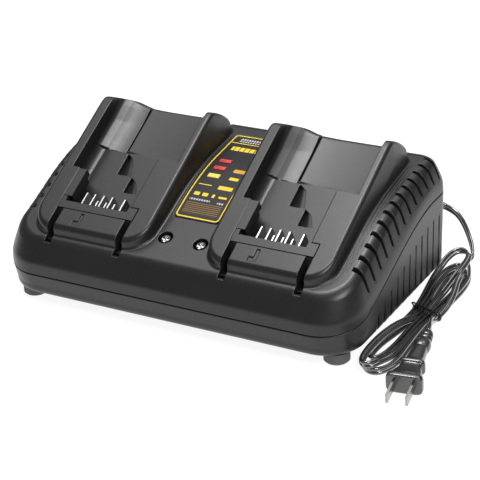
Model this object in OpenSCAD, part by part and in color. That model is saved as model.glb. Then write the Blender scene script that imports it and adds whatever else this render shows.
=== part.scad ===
// Twin-bay slide-pack battery charger, millimetres, +Z up.
// The origin is on the ground under the middle of the housing; the front faces -Y.

/* [Housing] */
// Width of the housing at its seam
body_w = 276; // [262:1:300]
// Depth of the housing at its seam
body_d = 168; // [160:1:184]
// Plan radius of the two front corners
front_corner_r = 30; // [26:1:44]
// Plan radius of the two rear corners
rear_corner_r = 18; // [16:1:26]
// Thickness of the moulded walls
wall = 2.8; // [2.2:0.1:3.4]
// Height of the seam between the housings at the front
seam_front_z = 24.5; // [22:0.5:28]
// Height of the seam at the back
seam_rear_z = 66; // [60:0.5:70]
// Height of the upright band above the seam
band_h = 7.5; // [6:0.5:9]
// How far the front face leans back from seam to crest
front_lean = 10; // [8:0.5:13]
// How far each side face leans in
side_lean = 9; // [8:0.5:12]
// How far the rear face leans in
rear_lean = 11.5; // [10:0.5:14]
// Radius of the lower housing's bottom edge
keel_r = 11; // [8:0.5:13]

/* [Top] */
// Height of the top at its front crest
crest_z = 50.2; // [48:0.1:52]
// Slope of the top just behind the crest
front_slope = 18; // [14:0.5:22]
// Slope of the middle of the top
middle_slope = 24.8; // [23:0.1:27]
// Height of the top at its rear crest
rear_top_z = 92; // [89:0.5:95]
// Slope of the rear of the top
rear_slope = 7.7; // [5:0.1:10]

/* [Pack bays] */
// Slope of the pack bays
bay_slope = 28.2; // [26:0.1:30]
// Height of the deck at its front edge
deck_front_h = 58.2; // [57:0.1:60]
// Distance from the housing's front to the deck's front edge
deck_start = 13.3; // [12:0.1:15]
// Distance between the middles of the two bays
bay_pitch = 139; // [132:0.5:143]
// Width of the raised cradle round each bay
cradle_w = 92; // [88:0.5:96]
// Distance from the deck's front edge to its crown along the ground
cradle_reach = 104.5; // [100:0.5:108]
// Plan radius of the cradle's front corners
cradle_corner_r = 17; // [12:0.5:22]
// Flare of the cradle's side walls between rim and foot
cradle_flare = 2.5; // [1.5:0.5:4]
// Depth of the sunken bay floor below the deck
bay_depth = 15.2; // [13:0.1:17]
// Width of the bay between its side walls
bay_w = 77.8; // [74:0.2:79]
// Sideways shift of the bay's middle in its cradle
bay_shift = 1.6; // [1:0.2:2.4]
// Clear width between the two rail lips
rail_gap = 49.2; // [46:0.2:51]
// Width of the undercut below the rail lips
undercut_w = 62.4; // [60:0.2:64]
// Thickness of the rail lips
lip_t = 6; // [5:0.1:7]
// Width of each guide slot
slot_w = 5; // [4.6:0.1:5.6]
// Distance from a bay's middle to a guide slot's outer side
slot_out = 30.7; // [30:0.1:31.2]
// Length of the guide slots along the deck
slot_run = 17.5; // [15:0.5:19]

/* [Terminals] */
// Length of the terminal holder along the slope
holder_run = 10.4; // [9:0.1:11]
// Thickness of a terminal blade
blade_t = 1; // [0.8:0.1:1.2]
// Reach of the long blades behind the holder
blade_run = 10; // [8:0.5:12]
// Height of the long blades
blade_h = 9; // [7:0.5:10]
// Clearance between fitted pieces
fit = 0.3; // [0.2:0.05:0.4]

/* [Vents] */
// Width of a side vent at the shoulder
vent_w = 4.2; // [3:0.1:5]
// Distance from one side vent to the next
vent_pitch = 9.57; // [8.5:0.01:10]
// Number of vents on each side
vent_count = 13; // [9:1:14]
// Number of slits on each side of the lower housing
flank_count = 10; // [6:1:11]

/* [Feet and screws] */
// Diameter of a foot
foot_d = 17.8; // [15:0.1:20]
// Height of the feet
foot_h = 8; // [6:0.5:10]
// Distance between the left and right feet
foot_span_x = 240; // [220:1:246]
// Distance between the front and rear feet
foot_span_y = 130; // [120:1:134]
// Diameter of a housing screw's shank
screw_d = 3; // [2.6:0.1:3.4]
// Diameter of a screw's head
head_d = 6.6; // [6:0.1:7]

/* [Inside] */
// Thickness of the main circuit board
board_t = 1.6; // [1.2:0.1:2]
// Height of the main board's underside above the ground
board_z = 18; // [16.5:0.5:20]
// Diameter of the mains filter capacitor
bulk_d = 22; // [18:0.5:25]
// Height of the transformers above the board
transformer_h = 25; // [20:0.5:27]

/* [Cord] */
// Width of the flat two-core cord
cord_w = 5.2; // [4.6:0.1:6]
// Height of the wound hank
hank_h = 10; // [9:0.5:12]
// Distance between the plug's two blades
plug_pitch = 12.7; // [12.7]

/* [Hidden] */
eps = 0.01;

// Housing outline and heights
front_y = -body_d / 2;
rear_y = body_d / 2;
base_z = foot_h;
crest_y = front_y + front_lean;
rear_crest_y = rear_y - rear_lean;
deck_front_y = front_y + deck_start;
deck_grade = tan(bay_slope);
seam_start_y = front_y - 8;
seam_end_y = front_y + 140;

// Steps of the facetted surfaces
corner_steps = 6;
side_ys = [for (k = [0.5 : 1 : 9.5]) front_y + front_corner_r
    + (body_d - front_corner_r - rear_corner_r) * k / 10];

function smooth_step(t) = let (c = min(max(t, 0), 1)) c * c * (3 - 2 * c);
function soft_min(a, b, k) = let (h = max(k - abs(a - b), 0) / k) min(a, b) - h * h * k / 4;
function seam_z(y) = seam_front_z + (seam_rear_z - seam_front_z)
    * smooth_step((y - seam_start_y) / (seam_end_y - seam_start_y));
function soft_max(a, b, k) = -soft_min(-a, -b, k);
bend_y = crest_y + 21.5;
function front_top(y) = crest_z + tan(front_slope) * (y - crest_y);
function middle_top(y) = front_top(bend_y) + tan(middle_slope) * (y - bend_y);
function rear_top(y) = rear_top_z + tan(rear_slope) * (y - rear_crest_y);
function top_z(y) = soft_min(soft_max(front_top(y), middle_top(y), 2.5), rear_top(y), 8);
function deck_z(y) = deck_front_h + deck_grade * (y - deck_front_y);

// One side of a rounded rectangle from front to back: x, y and the outward direction.
function half_outline(half_w, y0, y1, r0, r1, ys) = concat(
    [for (k = [0 : corner_steps]) let (a = -90 + 90 * k / corner_steps)
        [half_w - r0 + r0 * cos(a), y0 + r0 + r0 * sin(a), cos(a), sin(a)]],
    [for (y = ys) [half_w, y, 1, 0]],
    [for (k = [0 : corner_steps]) let (a = 90 * k / corner_steps)
        [half_w - r1 + r1 * cos(a), y1 - r1 + r1 * sin(a), cos(a), sin(a)]]);
function both_sides(half) = concat(half,
    [for (k = [len(half) - 1 : -1 : 0]) [-half[k][0], half[k][1], half[k][2]]]);

// Faces of stacked rings that are closed above and below by strips from side to side.
function wall_faces(n, rings, flip = false) = [for (r = [0 : rings - 2], k = [0 : n - 1])
    let (a = r * n + k, b = r * n + (k + 1) % n, c = a + n, d = b + n)
    each flip ? [[a, b, d], [a, d, c]] : [[a, d, b], [a, c, d]]];
function strip_faces(n, start, flip = false) = [for (k = [0 : n / 2 - 2])
    let (a = start + k, b = a + 1, c = start + n - 2 - k, d = c + 1)
    each flip ? [[a, c, b], [a, d, c]] : [[a, b, c], [a, c, d]]];

module loft(rings) {
    n = len(rings[0]);
    count = len(rings);
    polyhedron([for (r = rings) each r],
        concat(wall_faces(n, count), strip_faces(n, (count - 1) * n, true), strip_faces(n, 0)));
}

// The upper housing's skin: each entry is inset and height above the seam, or below the top.
function lean(p) = side_lean + (p[3] < 0 ? front_lean - side_lean : rear_lean - side_lean) * abs(p[3]);
function skin_point(p, inset, z) = [p[0] - p[2] * inset, p[1] - p[3] * inset, z];
function upper_ring(half, thin, k) = both_sides([for (p = half)
    let (in = lean(p),
        soft = 1 + 0.8 * abs(p[2]) + 1.4 * max(p[3], 0),
        step = [0, 0.1, 0.4, 1.7, in - 1.6 * soft, in - 0.5 * soft, in + 1.4 * soft][k],
        inset = min(thin + step, rear_corner_r - 2),
        y = p[1] - p[3] * inset,
        low = seam_z(p[1]),
        z = k < 4 ? low + [0, band_h - 3, band_h, band_h + 3.4][k] - (k > 1 ? thin * 0.5 : 0)
            : top_z(y) - thin - [2.1, 0.5, 0][k - 4] * soft)
    skin_point(p, inset, z)]);
body_half = half_outline(body_w / 2, front_y, rear_y, front_corner_r, rear_corner_r, side_ys);

// The lower housing's skin, from the seam down to the keel.
function lower_ring(half, thin, k) = both_sides([for (p = half)
    let (low = base_z + thin,
        z = [seam_z(p[1]), low + keel_r, low + keel_r * 0.5, low + keel_r * 0.14, low][k],
        inset = thin + [0, 1.2, 2.6, 5, 9][k])
    skin_point(p, inset, z)]);

// Frame of one bay: x across, y up the slope, z out of the deck, from the deck's front edge.
module in_bay(side) {
    translate([side * bay_pitch / 2, deck_front_y, deck_z(deck_front_y)])
        rotate([bay_slope, 0, 0]) children();
}
// A profile across the bay, drawn as [across, out], that runs up the slope.
module up_slope(from, to) {
    translate([0, to, 0]) rotate([90, 0, 0]) linear_extrude(to - from) children();
}
floor_drop = (bay_depth + wall) / cos(bay_slope);
wide_from = slot_run + holder_run + 25.6;
floor_step = wide_from + 29.9;
right_lip_end = wide_from + 18.7;
bay_end = 150;

// Cradle: a raised block with a plane deck that rounds down at the back.
crown_y = deck_front_y + cradle_reach;
crown_run = 32;
crown_h = 18;
crown_fall = 0.3;
cradle_end_y = crown_y + crown_run - 1;
cradle_ys = [for (t = [0.15, 0.3, 0.45, 0.58, 0.7, 0.77, 0.82, 0.88])
    deck_front_y + t * (cradle_end_y - deck_front_y)];
function crown_z(y) = let (t = min(max((y - crown_y) / crown_run, 0), 0.99))
    deck_z(crown_y) - crown_fall * max(y - crown_y, 0) - crown_h * (1 - sqrt(1 - t * t));
function cradle_top(y) = soft_min(deck_z(y), crown_z(y), 3);
function cradle_ring(half, k) = both_sides([for (p = half)
    let (flare = cradle_flare * min(1, abs(p[2]) + max(p[3], 0)) - 0.6 * max(-p[3], 0),
        inset = [-flare, -flare, -0.45 * flare, 0.5, 2.6][k],
        y = p[1] - p[3] * inset,
        top = cradle_top(y),
        low = min(deck_z(y) - floor_drop, top - 12, top_z(y) - 5),
        z = [low, min(top_z(y), top - 5), top - 3, top - 0.9, top][k])
    skin_point(p, inset, z)]);
module cradle(side) {
    half = half_outline(cradle_w / 2, deck_front_y, cradle_end_y, cradle_corner_r, 9, cradle_ys);
    translate([side * bay_pitch / 2, 0, 0]) loft([for (k = [0 : 4]) cradle_ring(half, k)]);
}

// Section of the sunken bay: a floor with a hollow left corner and a square right corner.
function arc(cx, cy, r, a0, a1, steps) = [for (k = [0 : steps]) let (a = a0 + (a1 - a0) * k / steps)
    [cx + r * cos(a), cy + r * sin(a)]];
bay_left = bay_shift - bay_w / 2;
bay_right = bay_shift + bay_w / 2;
module bay_section(right, r_right) {
    r = 13.6;
    polygon(concat([[bay_left, 30]], arc(bay_left + r, r - bay_depth, r, 180, 270, 8),
        arc(right - r_right, r_right - bay_depth, r_right, 270, 360, 3), [[right, 30]]));
}
module ramp_pocket(x, s0, s1, w0, w1, depth) {
    z = -bay_depth;
    up = 1;
    polyhedron([[x, s0, z + up], [x, s1, z + up], [x + w1, s1, z + up], [x + w0, s0, z + up],
        [x, s0, z - depth], [x, s1, z - depth], [x + w1, s1, z - eps], [x + w0, s0, z - eps]],
        [[0, 1, 2], [0, 2, 3], [0, 4, 5], [0, 5, 1], [1, 5, 6], [1, 6, 2],
        [2, 6, 7], [2, 7, 3], [3, 7, 4], [3, 4, 0], [4, 7, 6], [4, 6, 5]]);
}
module pocket_pads(side) {
    in_bay(side) {
        translate([-13, floor_step - 22, -bay_depth - 6]) cube([17, 23, 5]);
        translate([-1, floor_step - 36.5, -bay_depth - 6]) cube([16, 18, 5]);
    }
}
module bay_cuts(side) {
    in_bay(side) {
        up_slope(wide_from, bay_end) bay_section(rail_gap / 2, 0.5);
        up_slope(right_lip_end, bay_end) bay_section(bay_right, 3);
        up_slope(wide_from - 1, right_lip_end + 1) translate([0, -bay_depth])
            square([undercut_w / 2, bay_depth - lip_t]);
        // The rear of the floor is a little deeper
        translate([bay_left + 14, floor_step, -bay_depth - 0.4]) cube([bay_w - 17.6, 60, 5]);
        // Between the lips with the undercut below them, and the rail key's seat on the left
        up_slope(slot_run + holder_run, wide_from + 0.5) {
            translate([-rail_gap / 2, -bay_depth - 0.2]) square([rail_gap, 40]);
            translate([-undercut_w / 2, -bay_depth - 0.2]) square([undercut_w, bay_depth + 0.2 - lip_t]);
            translate([-undercut_w / 2, -bay_depth - 0.2]) square([undercut_w / 2, 40]);
        }
        // Seat of the terminal holder and its window through the floor
        up_slope(slot_run, slot_run + holder_run + 0.5) translate([-slot_out - fit, -bay_depth - 0.4])
            square([2 * (slot_out + fit), 40]);
        translate([-holder_web_w / 2 - fit, slot_run + 0.5 - fit, -bay_depth - 8])
            cube([holder_web_w + 2 * fit, holder_web_t + 2 * fit, 10]);
        // Hollow below the tongue
        translate([3 - slot_out + slot_w, 4, -bay_depth - 8])
            cube([2 * (slot_out - slot_w - 3), slot_run - 7, bay_depth + 5]);
        // Hollows in the side walls, open below
        for (u = [-43.2, 33.8]) translate([u, 24, -bay_depth - 8])
            cube([9.4, wide_from - 26.5, bay_depth + 5]);
        // Narrow groove in the rear floor
        up_slope(floor_step + 1, bay_end) translate([-14.2, -bay_depth - 2]) square([2, 6]);
        ramp_pocket(-11, floor_step - 20, floor_step - 1.5, 11, 4.5, 4);
        ramp_pocket(1.5, floor_step - 34.5, floor_step - 21, 10.5, 3.5, 4);
        // Key mark in the tongue between the slots
        translate([-9.6, 6, -1.4]) cube([2.2, 8.6, 3]);
        translate([-13.4, 4.4, -1.4]) cube([4.2, 4, 3]);
    }
    // Rear lip, which falls away backwards and dips from the left bump to the groove
    translate([side * bay_pitch / 2, lip_y, lip_z]) rotate([-32, 0, 0]) up_slope(0, 50)
        polygon([[-45, 14], [-40, 9.2], [-34, 6.6], [-27, 4], [-19, 1.7], [-11, 0.2],
            [bay_right - 1, 0], [bay_right - 1, 14]]);
    // Guide slots, open upwards and to the front
    for (way = [-1, 1]) translate([side * bay_pitch / 2 + way * (slot_out - slot_w / 2), 0, 0])
        translate([-slot_w / 2, crest_y - 2, crest_z - 2.6]) cube([slot_w, slot_end_y - crest_y + 2, 60]);
}
lip_y = deck_front_y + 118;
lip_z = deck_z(lip_y) - bay_depth / cos(bay_slope) - 0.2;
slot_end_y = deck_front_y + slot_run * cos(bay_slope);
holder_web_w = 54;
holder_web_t = 5.2;

// Side vents: slits from the shoulder down the leaning face.
vent_start_y = front_y + 35.6;
vent_in = body_w / 2 - side_lean - 2;
vent_taper = 0.36;
module side_vents() {
    for (way = [-1, 1], k = [0 : vent_count - 1]) {
        y = vent_start_y + k * vent_pitch;
        low = seam_z(y) + band_h + 3.2;
        high = top_z(y) - 5;
        wide = vent_w / 2;
        narrow = vent_taper * wide;
        translate([way > 0 ? vent_in : -vent_in - 40, y, 0]) rotate([90, 0, 90]) linear_extrude(40)
            polygon([[-narrow, low], [narrow, low], [wide, high], [wide, high + 60],
                [-wide, high + 60], [-wide, high]]);
    }
}
rear_vent_w = 2.3;
rear_vent_pitch = 7.6;
rear_vent_first = 32;
module rear_vents() {
    for (way = [-1, 1], k = [0 : 10])
        translate([way * (rear_vent_first + k * rear_vent_pitch) - rear_vent_w / 2, rear_crest_y - 4,
            seam_rear_z + 11]) cube([rear_vent_w, 40, 60]);
}
// Fine line beside the outer foot of each cradle
module shoulder_lines() {
    band = top_band(-0.6, 3, front_y + 34, front_y + 138);
    for (way = [-1, 1])
        translate([way * (bay_pitch / 2 + cradle_w / 2 + 9) - 0.5, 0, 0])
            rotate([90, 0, 90]) linear_extrude(1) polygon(band);
}

// A band that follows the top between two offsets from it, as [y, z] points.
top_steps = 26;
function top_band(low, high, y0, y1) = concat(
    [for (k = [0 : top_steps]) let (y = y0 + (y1 - y0) * k / top_steps) [y, top_z(y) + low]],
    [for (k = [top_steps : -1 : 0]) let (y = y0 + (y1 - y0) * k / top_steps) [y, top_z(y) + high]]);

// Label panel: wider at the front than at the back
label_front_y = front_y + 49;
label_rear_y = front_y + 141;
label_half = bay_pitch / 2 - cradle_w / 2 - cradle_flare - 3;
module label_outline(grow) {
    r = 3;
    hull() for (way = [-1, 1]) {
        translate([way * (label_half - 0.5 - r), label_front_y + r]) circle(r + grow, $fn = 24);
        translate([way * (label_half - r), label_rear_y - r]) circle(r + grow, $fn = 24);
    }
}
label_t = 0.8;
label_seat = 0.6;
module label_seat_cut() {
    intersection() {
        linear_extrude(130) label_outline(fit);
        translate([-30, 0, 0]) rotate([90, 0, 90]) linear_extrude(60)
            polygon(top_band(-label_seat, 6, label_front_y - 4, label_rear_y + 4));
    }
}
lens_w = 9;
lens_l = 3.6;
lens_x = -6.6;
lens_ys = [for (m = [104.6, 96, 87.4]) front_y + m];

// Two screws in recesses in front of the label
panel_screw_x = 13.8;
panel_screw_y = front_y + 31;
recess_d = 10.4;
recess_depth = 3.6;
module at_panel_screw(side) {
    translate([side * panel_screw_x, panel_screw_y, top_z(panel_screw_y)])
        rotate([(front_slope + middle_slope) / 2, 0, 0]) children();
}
panel_boss_l = 16;

// Housing screws: from below, in posts of the lower housing, into bosses of the upper one
post_points = [for (sx = [-1, 1], sy = [-1, 1]) [sx * (foot_span_x / 2 - 12), sy * (foot_span_y / 2 - 8)]];
post_d = 10;
post_top = seam_front_z - 4;
boss_d = 8;
screw_seat_z = base_z + 9;
screw_tip_z = screw_seat_z + 22;

module upper_housing() {
    color([0.2, 0.2, 0.21]) {
        difference() {
            union() {
                difference() {
                    loft([for (k = [0 : 6]) upper_ring(body_half, 0, k)]);
                    translate([0, 0, -eps]) loft([for (k = [0 : 6]) upper_ring(body_half, wall, k)]);
                }
                for (side = [-1, 1]) {
                    cradle(side);
                    pocket_pads(side);
                }
            }
            for (side = [-1, 1]) {
                bay_cuts(side);
                at_panel_screw(side) {
                    translate([0, 0, -recess_depth]) cylinder(d = recess_d, h = 20, $fn = 32);
                    translate([0, 0, -panel_boss_l]) cylinder(d = screw_d + 0.2, h = 20, $fn = 24);
                }
            }
            side_vents();
            rear_vents();
            shoulder_lines();
            label_seat_cut();
        }
        for (p = post_points) upper_boss(p);
        for (side = [-1, 1]) panel_boss(side);
    }
}
module upper_boss(p) {
    top = top_z(p[1]) - wall * 0.7;
    translate([p[0], p[1], post_top]) difference() {
        cylinder(d = boss_d, h = top - post_top, $fn = 32);
        translate([0, 0, -1]) cylinder(d = screw_d + 0.1, h = screw_tip_z - post_top + 3, $fn = 24);
    }
}
module panel_boss(side) {
    at_panel_screw(side) translate([0, 0, -panel_boss_l]) difference() {
        cylinder(d = recess_d + 4, h = panel_boss_l - 1, $fn = 32);
        translate([0, 0, panel_boss_l - recess_depth]) cylinder(d = recess_d, h = 20, $fn = 32);
        translate([0, 0, -1]) cylinder(d = screw_d + 0.2, h = 20, $fn = 24);
    }
}

// Lower housing: a deep tray with slits low in both flanks, posts, board pillars and foot seats
flank_pitch = 9.9;
flank_start_y = front_y + 68;
foot_points = [for (sx = [-1, 1], sy = [-1, 1]) [sx * foot_span_x / 2, sy * foot_span_y / 2]];
stem_d = 9;
stem_h = 4;
keel_pitch = 14;
pillar_d = 8;
pillar_points = [for (sx = [-1, 1], sy = [-1, 1]) [sx * 88, sy * 48 - 2]];
module lower_housing() {
    color([0.22, 0.22, 0.23]) difference() {
        union() {
            difference() {
                loft([for (k = [4 : -1 : 0]) lower_ring(body_half, 0, k)]);
                translate([0, 0, eps]) loft([for (k = [4 : -1 : 0]) lower_ring(body_half, wall, k)]);
            }
            for (p = post_points) translate([p[0], p[1], base_z + 1])
                cylinder(d = post_d, h = post_top - base_z - 1, $fn = 32);
            for (p = pillar_points) translate([p[0], p[1], base_z + 1])
                cylinder(d = pillar_d, h = board_z - base_z - 1, $fn = 32);
            for (p = foot_points) translate([p[0], p[1], base_z + 1])
                cylinder(d = stem_d + 5, h = stem_h + 1, $fn = 32);
            translate([cord_x, rear_y - wall - 5, cord_z]) rotate([-90, 0, 0])
                cylinder(d = gland_d + 6, h = 6, $fn = 32);
        }
        for (p = post_points) translate([p[0], p[1], base_z - 1]) {
            cylinder(d = head_d + 0.6, h = screw_seat_z - base_z + 1, $fn = 32);
            cylinder(d = screw_d + 0.4, h = 40, $fn = 24);
        }
        for (p = pillar_points) translate([p[0], p[1], base_z + wall])
            cylinder(d = board_screw_d + 0.1, h = 30, $fn = 24);
        for (p = foot_points) translate([p[0], p[1], base_z - 1])
            cylinder(d = stem_d + 0.2, h = stem_h + 1, $fn = 32);
        translate([cord_x, rear_y - 20, cord_z]) rotate([-90, 0, 0])
            cylinder(d = gland_d, h = 40, $fn = 32);
        for (way = [-1, 1], k = [0 : flank_count - 1]) {
            y = flank_start_y + k * flank_pitch;
            translate([way > 0 ? body_w / 2 - 6 : -body_w / 2 - 4, y - 0.8, base_z - 1])
                cube([10, 1.6, seam_z(y) - base_z - 14]);
        }
        for (k = [-5 : 5], way = [-1, 1]) translate([k * keel_pitch - 1.5, way * 34 - 16, base_z - 1])
            cube([3, 32, 10]);
    }
}

module label_plate() {
    color([0.13, 0.13, 0.14]) difference() {
        intersection() {
            linear_extrude(130) label_outline(0);
            translate([-30, 0, 0]) rotate([90, 0, 90]) linear_extrude(60)
                polygon(top_band(-label_seat, label_t - label_seat, label_front_y - 4, label_rear_y + 4));
        }
        for (y = lens_ys) translate([lens_x - lens_w / 2 - 0.1, y - lens_l / 2 - 0.1, 20])
            cube([lens_w + 0.2, lens_l + 0.2, 100]);
    }
}
module status_lenses() {
    color([0.75, 0.12, 0.08]) for (y = lens_ys)
        translate([lens_x - lens_w / 2, y - lens_l / 2, 0]) rotate([90, 0, 90])
            linear_extrude(lens_w) polygon([
                [0, top_z(y - lens_l / 2) - label_seat], [lens_l, top_z(y + lens_l / 2) - label_seat],
                [lens_l, top_z(y + lens_l / 2) + label_t], [0, top_z(y - lens_l / 2) + label_t]]);
}
module screw(length) {
    difference() {
        translate([0, 0, -eps]) cylinder(d = head_d, h = 2.4, $fn = 32);
        for (a = [0, 90]) rotate([0, 0, a]) translate([-2.2, -0.5, 1.1]) cube([4.4, 1, 3]);
    }
    translate([0, 0, -length]) cylinder(d = screw_d, h = length, $fn = 24);
}
module panel_screws() {
    color([0.75, 0.75, 0.77]) for (side = [-1, 1])
        at_panel_screw(side) translate([0, 0, -recess_depth]) screw(8);
}
module housing_screws() {
    color([0.6, 0.6, 0.62]) for (p = post_points)
        translate([p[0], p[1], screw_seat_z]) rotate([180, 0, 0]) screw(screw_tip_z - screw_seat_z);
}

// Terminal holder: a strip level with the deck on a web that goes through the bay's floor
tail_z = -bay_depth - 8;
module terminal_holder(side) {
    color([0.17, 0.17, 0.18]) in_bay(side) difference() {
        union() {
            translate([-slot_out, slot_run + 0.1, -lip_t]) cube([2 * slot_out, 6, lip_t]);
            for (way = [0, 1]) mirror([way, 0, 0]) translate([-slot_out, slot_run + 0.1, -lip_t])
                cube([3.2 + way * 4, holder_run - 0.4, lip_t]);
            translate([-holder_web_w / 2, slot_run + 0.5, tail_z])
                cube([holder_web_w, holder_web_t, -tail_z - 1]);
            translate([-slot_out, slot_run + 0.5, -bay_depth]) cube([2 * slot_out, 5, bay_depth - 1]);
        }
        blade_set(0);
    }
}
module blade_set(grow) {
    for (b = blades) translate([b[0] - blade_t / 2 - grow, slot_run + 2, tail_z - 4])
        blade_shape(b[1] ? blade_run + 4.6 : 9.5, b[1] ? blade_h : 5, blade_t + 2 * grow);
}
// Each blade's place across the bay, and whether it is a long one
blades = [[-14, true], [-7.2, true], [-2.6, false], [0, true],
    [4.4, false], [7, true], [11.4, false], [17.3, true]];
module blade_shape(run, height, t) {
    top = -tail_z + 4 - 0.3;
    rotate([90, 0, 90]) linear_extrude(t)
        polygon([[0, 0], [2.2, 0], [2.2, top - height], [run, top - height],
            [run, top - 0.8], [run - 0.8, top], [0, top]]);
}
module terminal_blades(side) {
    color([0.78, 0.78, 0.8]) in_bay(side) blade_set(0);
}
// Rail key: the left lip of each bay is an insert on its own foot
module rail_key(side) {
    color([0.2, 0.2, 0.21]) in_bay(side) translate([-undercut_w / 2, slot_run + holder_run + fit, 0]) {
        run = wide_from - slot_run - holder_run - 1.6;
        translate([0, 0, -lip_t]) cube([(undercut_w - rail_gap) / 2, run, lip_t]);
        translate([0, 0, -bay_depth]) cube([2.2, run, bay_depth - 1]);
    }
}

module foot(sx, sy) {
    color([0.16, 0.16, 0.17]) translate([sx * foot_span_x / 2, sy * foot_span_y / 2, 0]) {
        rotate_extrude($fn = 48)
            polygon([[0, 0], [foot_d / 2 - 1.2, 0], [foot_d / 2, 1.2], [foot_d / 2, base_z], [0, base_z]]);
        translate([0, 0, base_z - eps]) cylinder(d = stem_d, h = stem_h - 0.2, $fn = 32);
    }
}

// Inside: one board on four pillars carries everything
board_w = 200;
board_d = 116;
board_top = board_z + board_t;
board_screw_d = 2.5;
sink_x = 76;
sink_y = 14;
transistor_x = sink_x - 3.8;
bulk_y = 42;
bulk_h = 36;
module main_board() {
    color([0.1, 0.35, 0.2]) difference() {
        translate([-board_w / 2, -board_d / 2 - 2, board_z]) cube([board_w, board_d, board_t]);
        for (p = pillar_points) translate([p[0], p[1], 0]) cylinder(d = 3.2, h = 60, $fn = 24);
    }
}
module board_screws() {
    color([0.7, 0.7, 0.72]) for (p = pillar_points) translate([p[0], p[1], board_top]) {
        cylinder(d = 5.4, h = 2, $fn = 24);
        translate([0, 0, -board_t - 6]) cylinder(d = board_screw_d, h = board_t + 6 + eps, $fn = 24);
    }
}
// Ferrite core round a wound bobbin
module transformer(side) {
    translate([side * 40, 8, board_top]) {
        color([0.25, 0.24, 0.24]) difference() {
            translate([-17, -7, 2]) cube([34, 14, transformer_h - 2]);
            for (way = [-1, 1]) translate([way * 9.5 - 3.5, -8, 7]) cube([7, 16, transformer_h - 12]);
        }
        color([0.8, 0.65, 0.2]) translate([-12.6, -11, 7.4]) difference() {
            cube([25.2, 22, transformer_h - 12.8]);
            translate([6.6, 4, -1]) cube([12, 14, 40]);
        }
        color([0.1, 0.1, 0.1]) difference() {
            translate([-15, -12, 0]) cube([30, 24, 7.2]);
            translate([-17.2, -7.2, 1.8]) cube([34.4, 14.4, 10]);
        }
    }
}
module heat_sink(side) {
    color([0.75, 0.76, 0.78]) translate([side * sink_x, sink_y, board_top]) {
        translate([-1.5, -30, 0]) cube([3, 60, 32]);
        for (k = [0 : 9]) translate([side > 0 ? 1.5 - eps : -9.5 + eps, -30 + k * 6.4, 0])
            cube([8, 2.2, 32]);
    }
}
module power_transistors() {
    color([0.12, 0.12, 0.12]) for (side = [-1, 1], k = [-1, 1])
        translate([side * transistor_x, sink_y + k * 14, board_top]) {
        translate([-2.3, -5, 4]) cube([4.6, 10, 15]);
        for (pin = [-1, 0, 1]) translate([-0.4, pin * 2.54 - 0.4, 0]) cube([0.8, 0.8, 4 + eps]);
    }
}
module filter_capacitor() {
    color([0.12, 0.14, 0.3]) translate([0, bulk_y, board_top]) rotate_extrude($fn = 40)
        polygon([[0, 0], [bulk_d / 2 - 0.6, 0], [bulk_d / 2, 0.6], [bulk_d / 2, bulk_h - 1],
            [bulk_d / 2 - 1, bulk_h], [0, bulk_h]]);
}
module output_capacitors() {
    color([0.15, 0.12, 0.1]) for (side = [-1, 1], k = [0 : 2])
        translate([side * (20 + k * 14), -36, board_top]) cylinder(d = 10, h = 16, $fn = 32);
}
module mains_choke() {
    color([0.7, 0.45, 0.2]) translate([52, 44, board_top]) rotate_extrude($fn = 36)
        translate([6.5, 0]) square([5.5, 11]);
    color([0.2, 0.2, 0.2]) translate([52, 44, board_top]) cylinder(d = 13, h = 3, $fn = 24);
}
module fuse() {
    color([0.85, 0.85, 0.8]) translate([76, 50, board_top]) {
        translate([-10, 0, 4.5]) rotate([0, 90, 0]) cylinder(d = 5, h = 20, $fn = 24);
        for (x = [-9, 6]) translate([x, -1, 0]) cube([3, 2, 3]);
    }
}
// Lamp board below the label, on the two panel bosses
module lamp_board() {
    color([0.1, 0.35, 0.2]) at_panel_screw(0) difference() {
        translate([-20, -6, -panel_boss_l - 1.6]) cube([40, 70, 1.6]);
        for (side = [-1, 1]) translate([side * panel_screw_x, 0, -60])
            cylinder(d = screw_d + 0.4, h = 80, $fn = 24);
    }
}
module status_lamps() {
    color([0.9, 0.3, 0.2]) at_panel_screw(0) for (k = [0 : 2])
        translate([lens_x, 44 + k * 8, -panel_boss_l]) cylinder(d = 3, h = 4, $fn = 24);
}

// Cord: route points in round numbers, from the strain relief to the hank and from it to the plug
cord_x = 112;
cord_z = 37;
gland_d = 9;
relief_l = 20;
lead_route = [[112, 104, 37], [112.6, 108, 36.6], [115, 112.3, 35], [119.5, 115, 32.4],
    [125, 115.2, 30.4], [131, 113, 28.2], [136.5, 110, 24], [141, 107, 18.6], [144.4, 104.2, 13.6],
    [146.6, 102, 9.4], [147.9, 99.7, 6], [147.7, 97.2, 4.4], [146.7, 94.4, 3.9]];
tail_route = [[161.3, 2, 6], [161.7, -3, 7.8], [162.9, -10, 10], [165, -17, 11.4],
    [166.8, -22, 11.7], [168, -27, 11.5]];
// Hank: two loops held together by a tie; each entry is x, y, radius
hank_loops = [[146.6, -63, 9.4], [150.7, 8, 8.2], [145.2, 66, 12.4], [142.4, 83, 12]];
plug_heading = [168, -27, 11.5];
module tube(path, d, sides) {
    n = len(path);
    dirs = [for (k = [0 : n - 1]) let (v = path[min(k + 1, n - 1)] - path[max(k - 1, 0)]) v / norm(v)];
    function ring(k) = let (t = dirs[k], level = cross(t, [0, 0, 1]), side = level / norm(level),
        up = cross(side, t))
        [for (m = [0 : sides - 1]) let (a = m * 360 / sides) path[k] + d / 2 * (cos(a) * side + sin(a) * up)];
    polyhedron([for (k = [0 : n - 1]) each ring(k)], concat(
        [for (k = [0 : n - 2], a = [0 : sides - 1]) let (b = (a + 1) % sides, p = k * sides)
            each [[p + a, p + b, p + sides + b], [p + a, p + sides + b, p + sides + a]]],
        [for (a = [1 : sides - 2]) [0, a + 1, a]],
        [for (a = [1 : sides - 2]) let (p = (n - 1) * sides) [p, p + a, p + a + 1]]));
}
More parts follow.
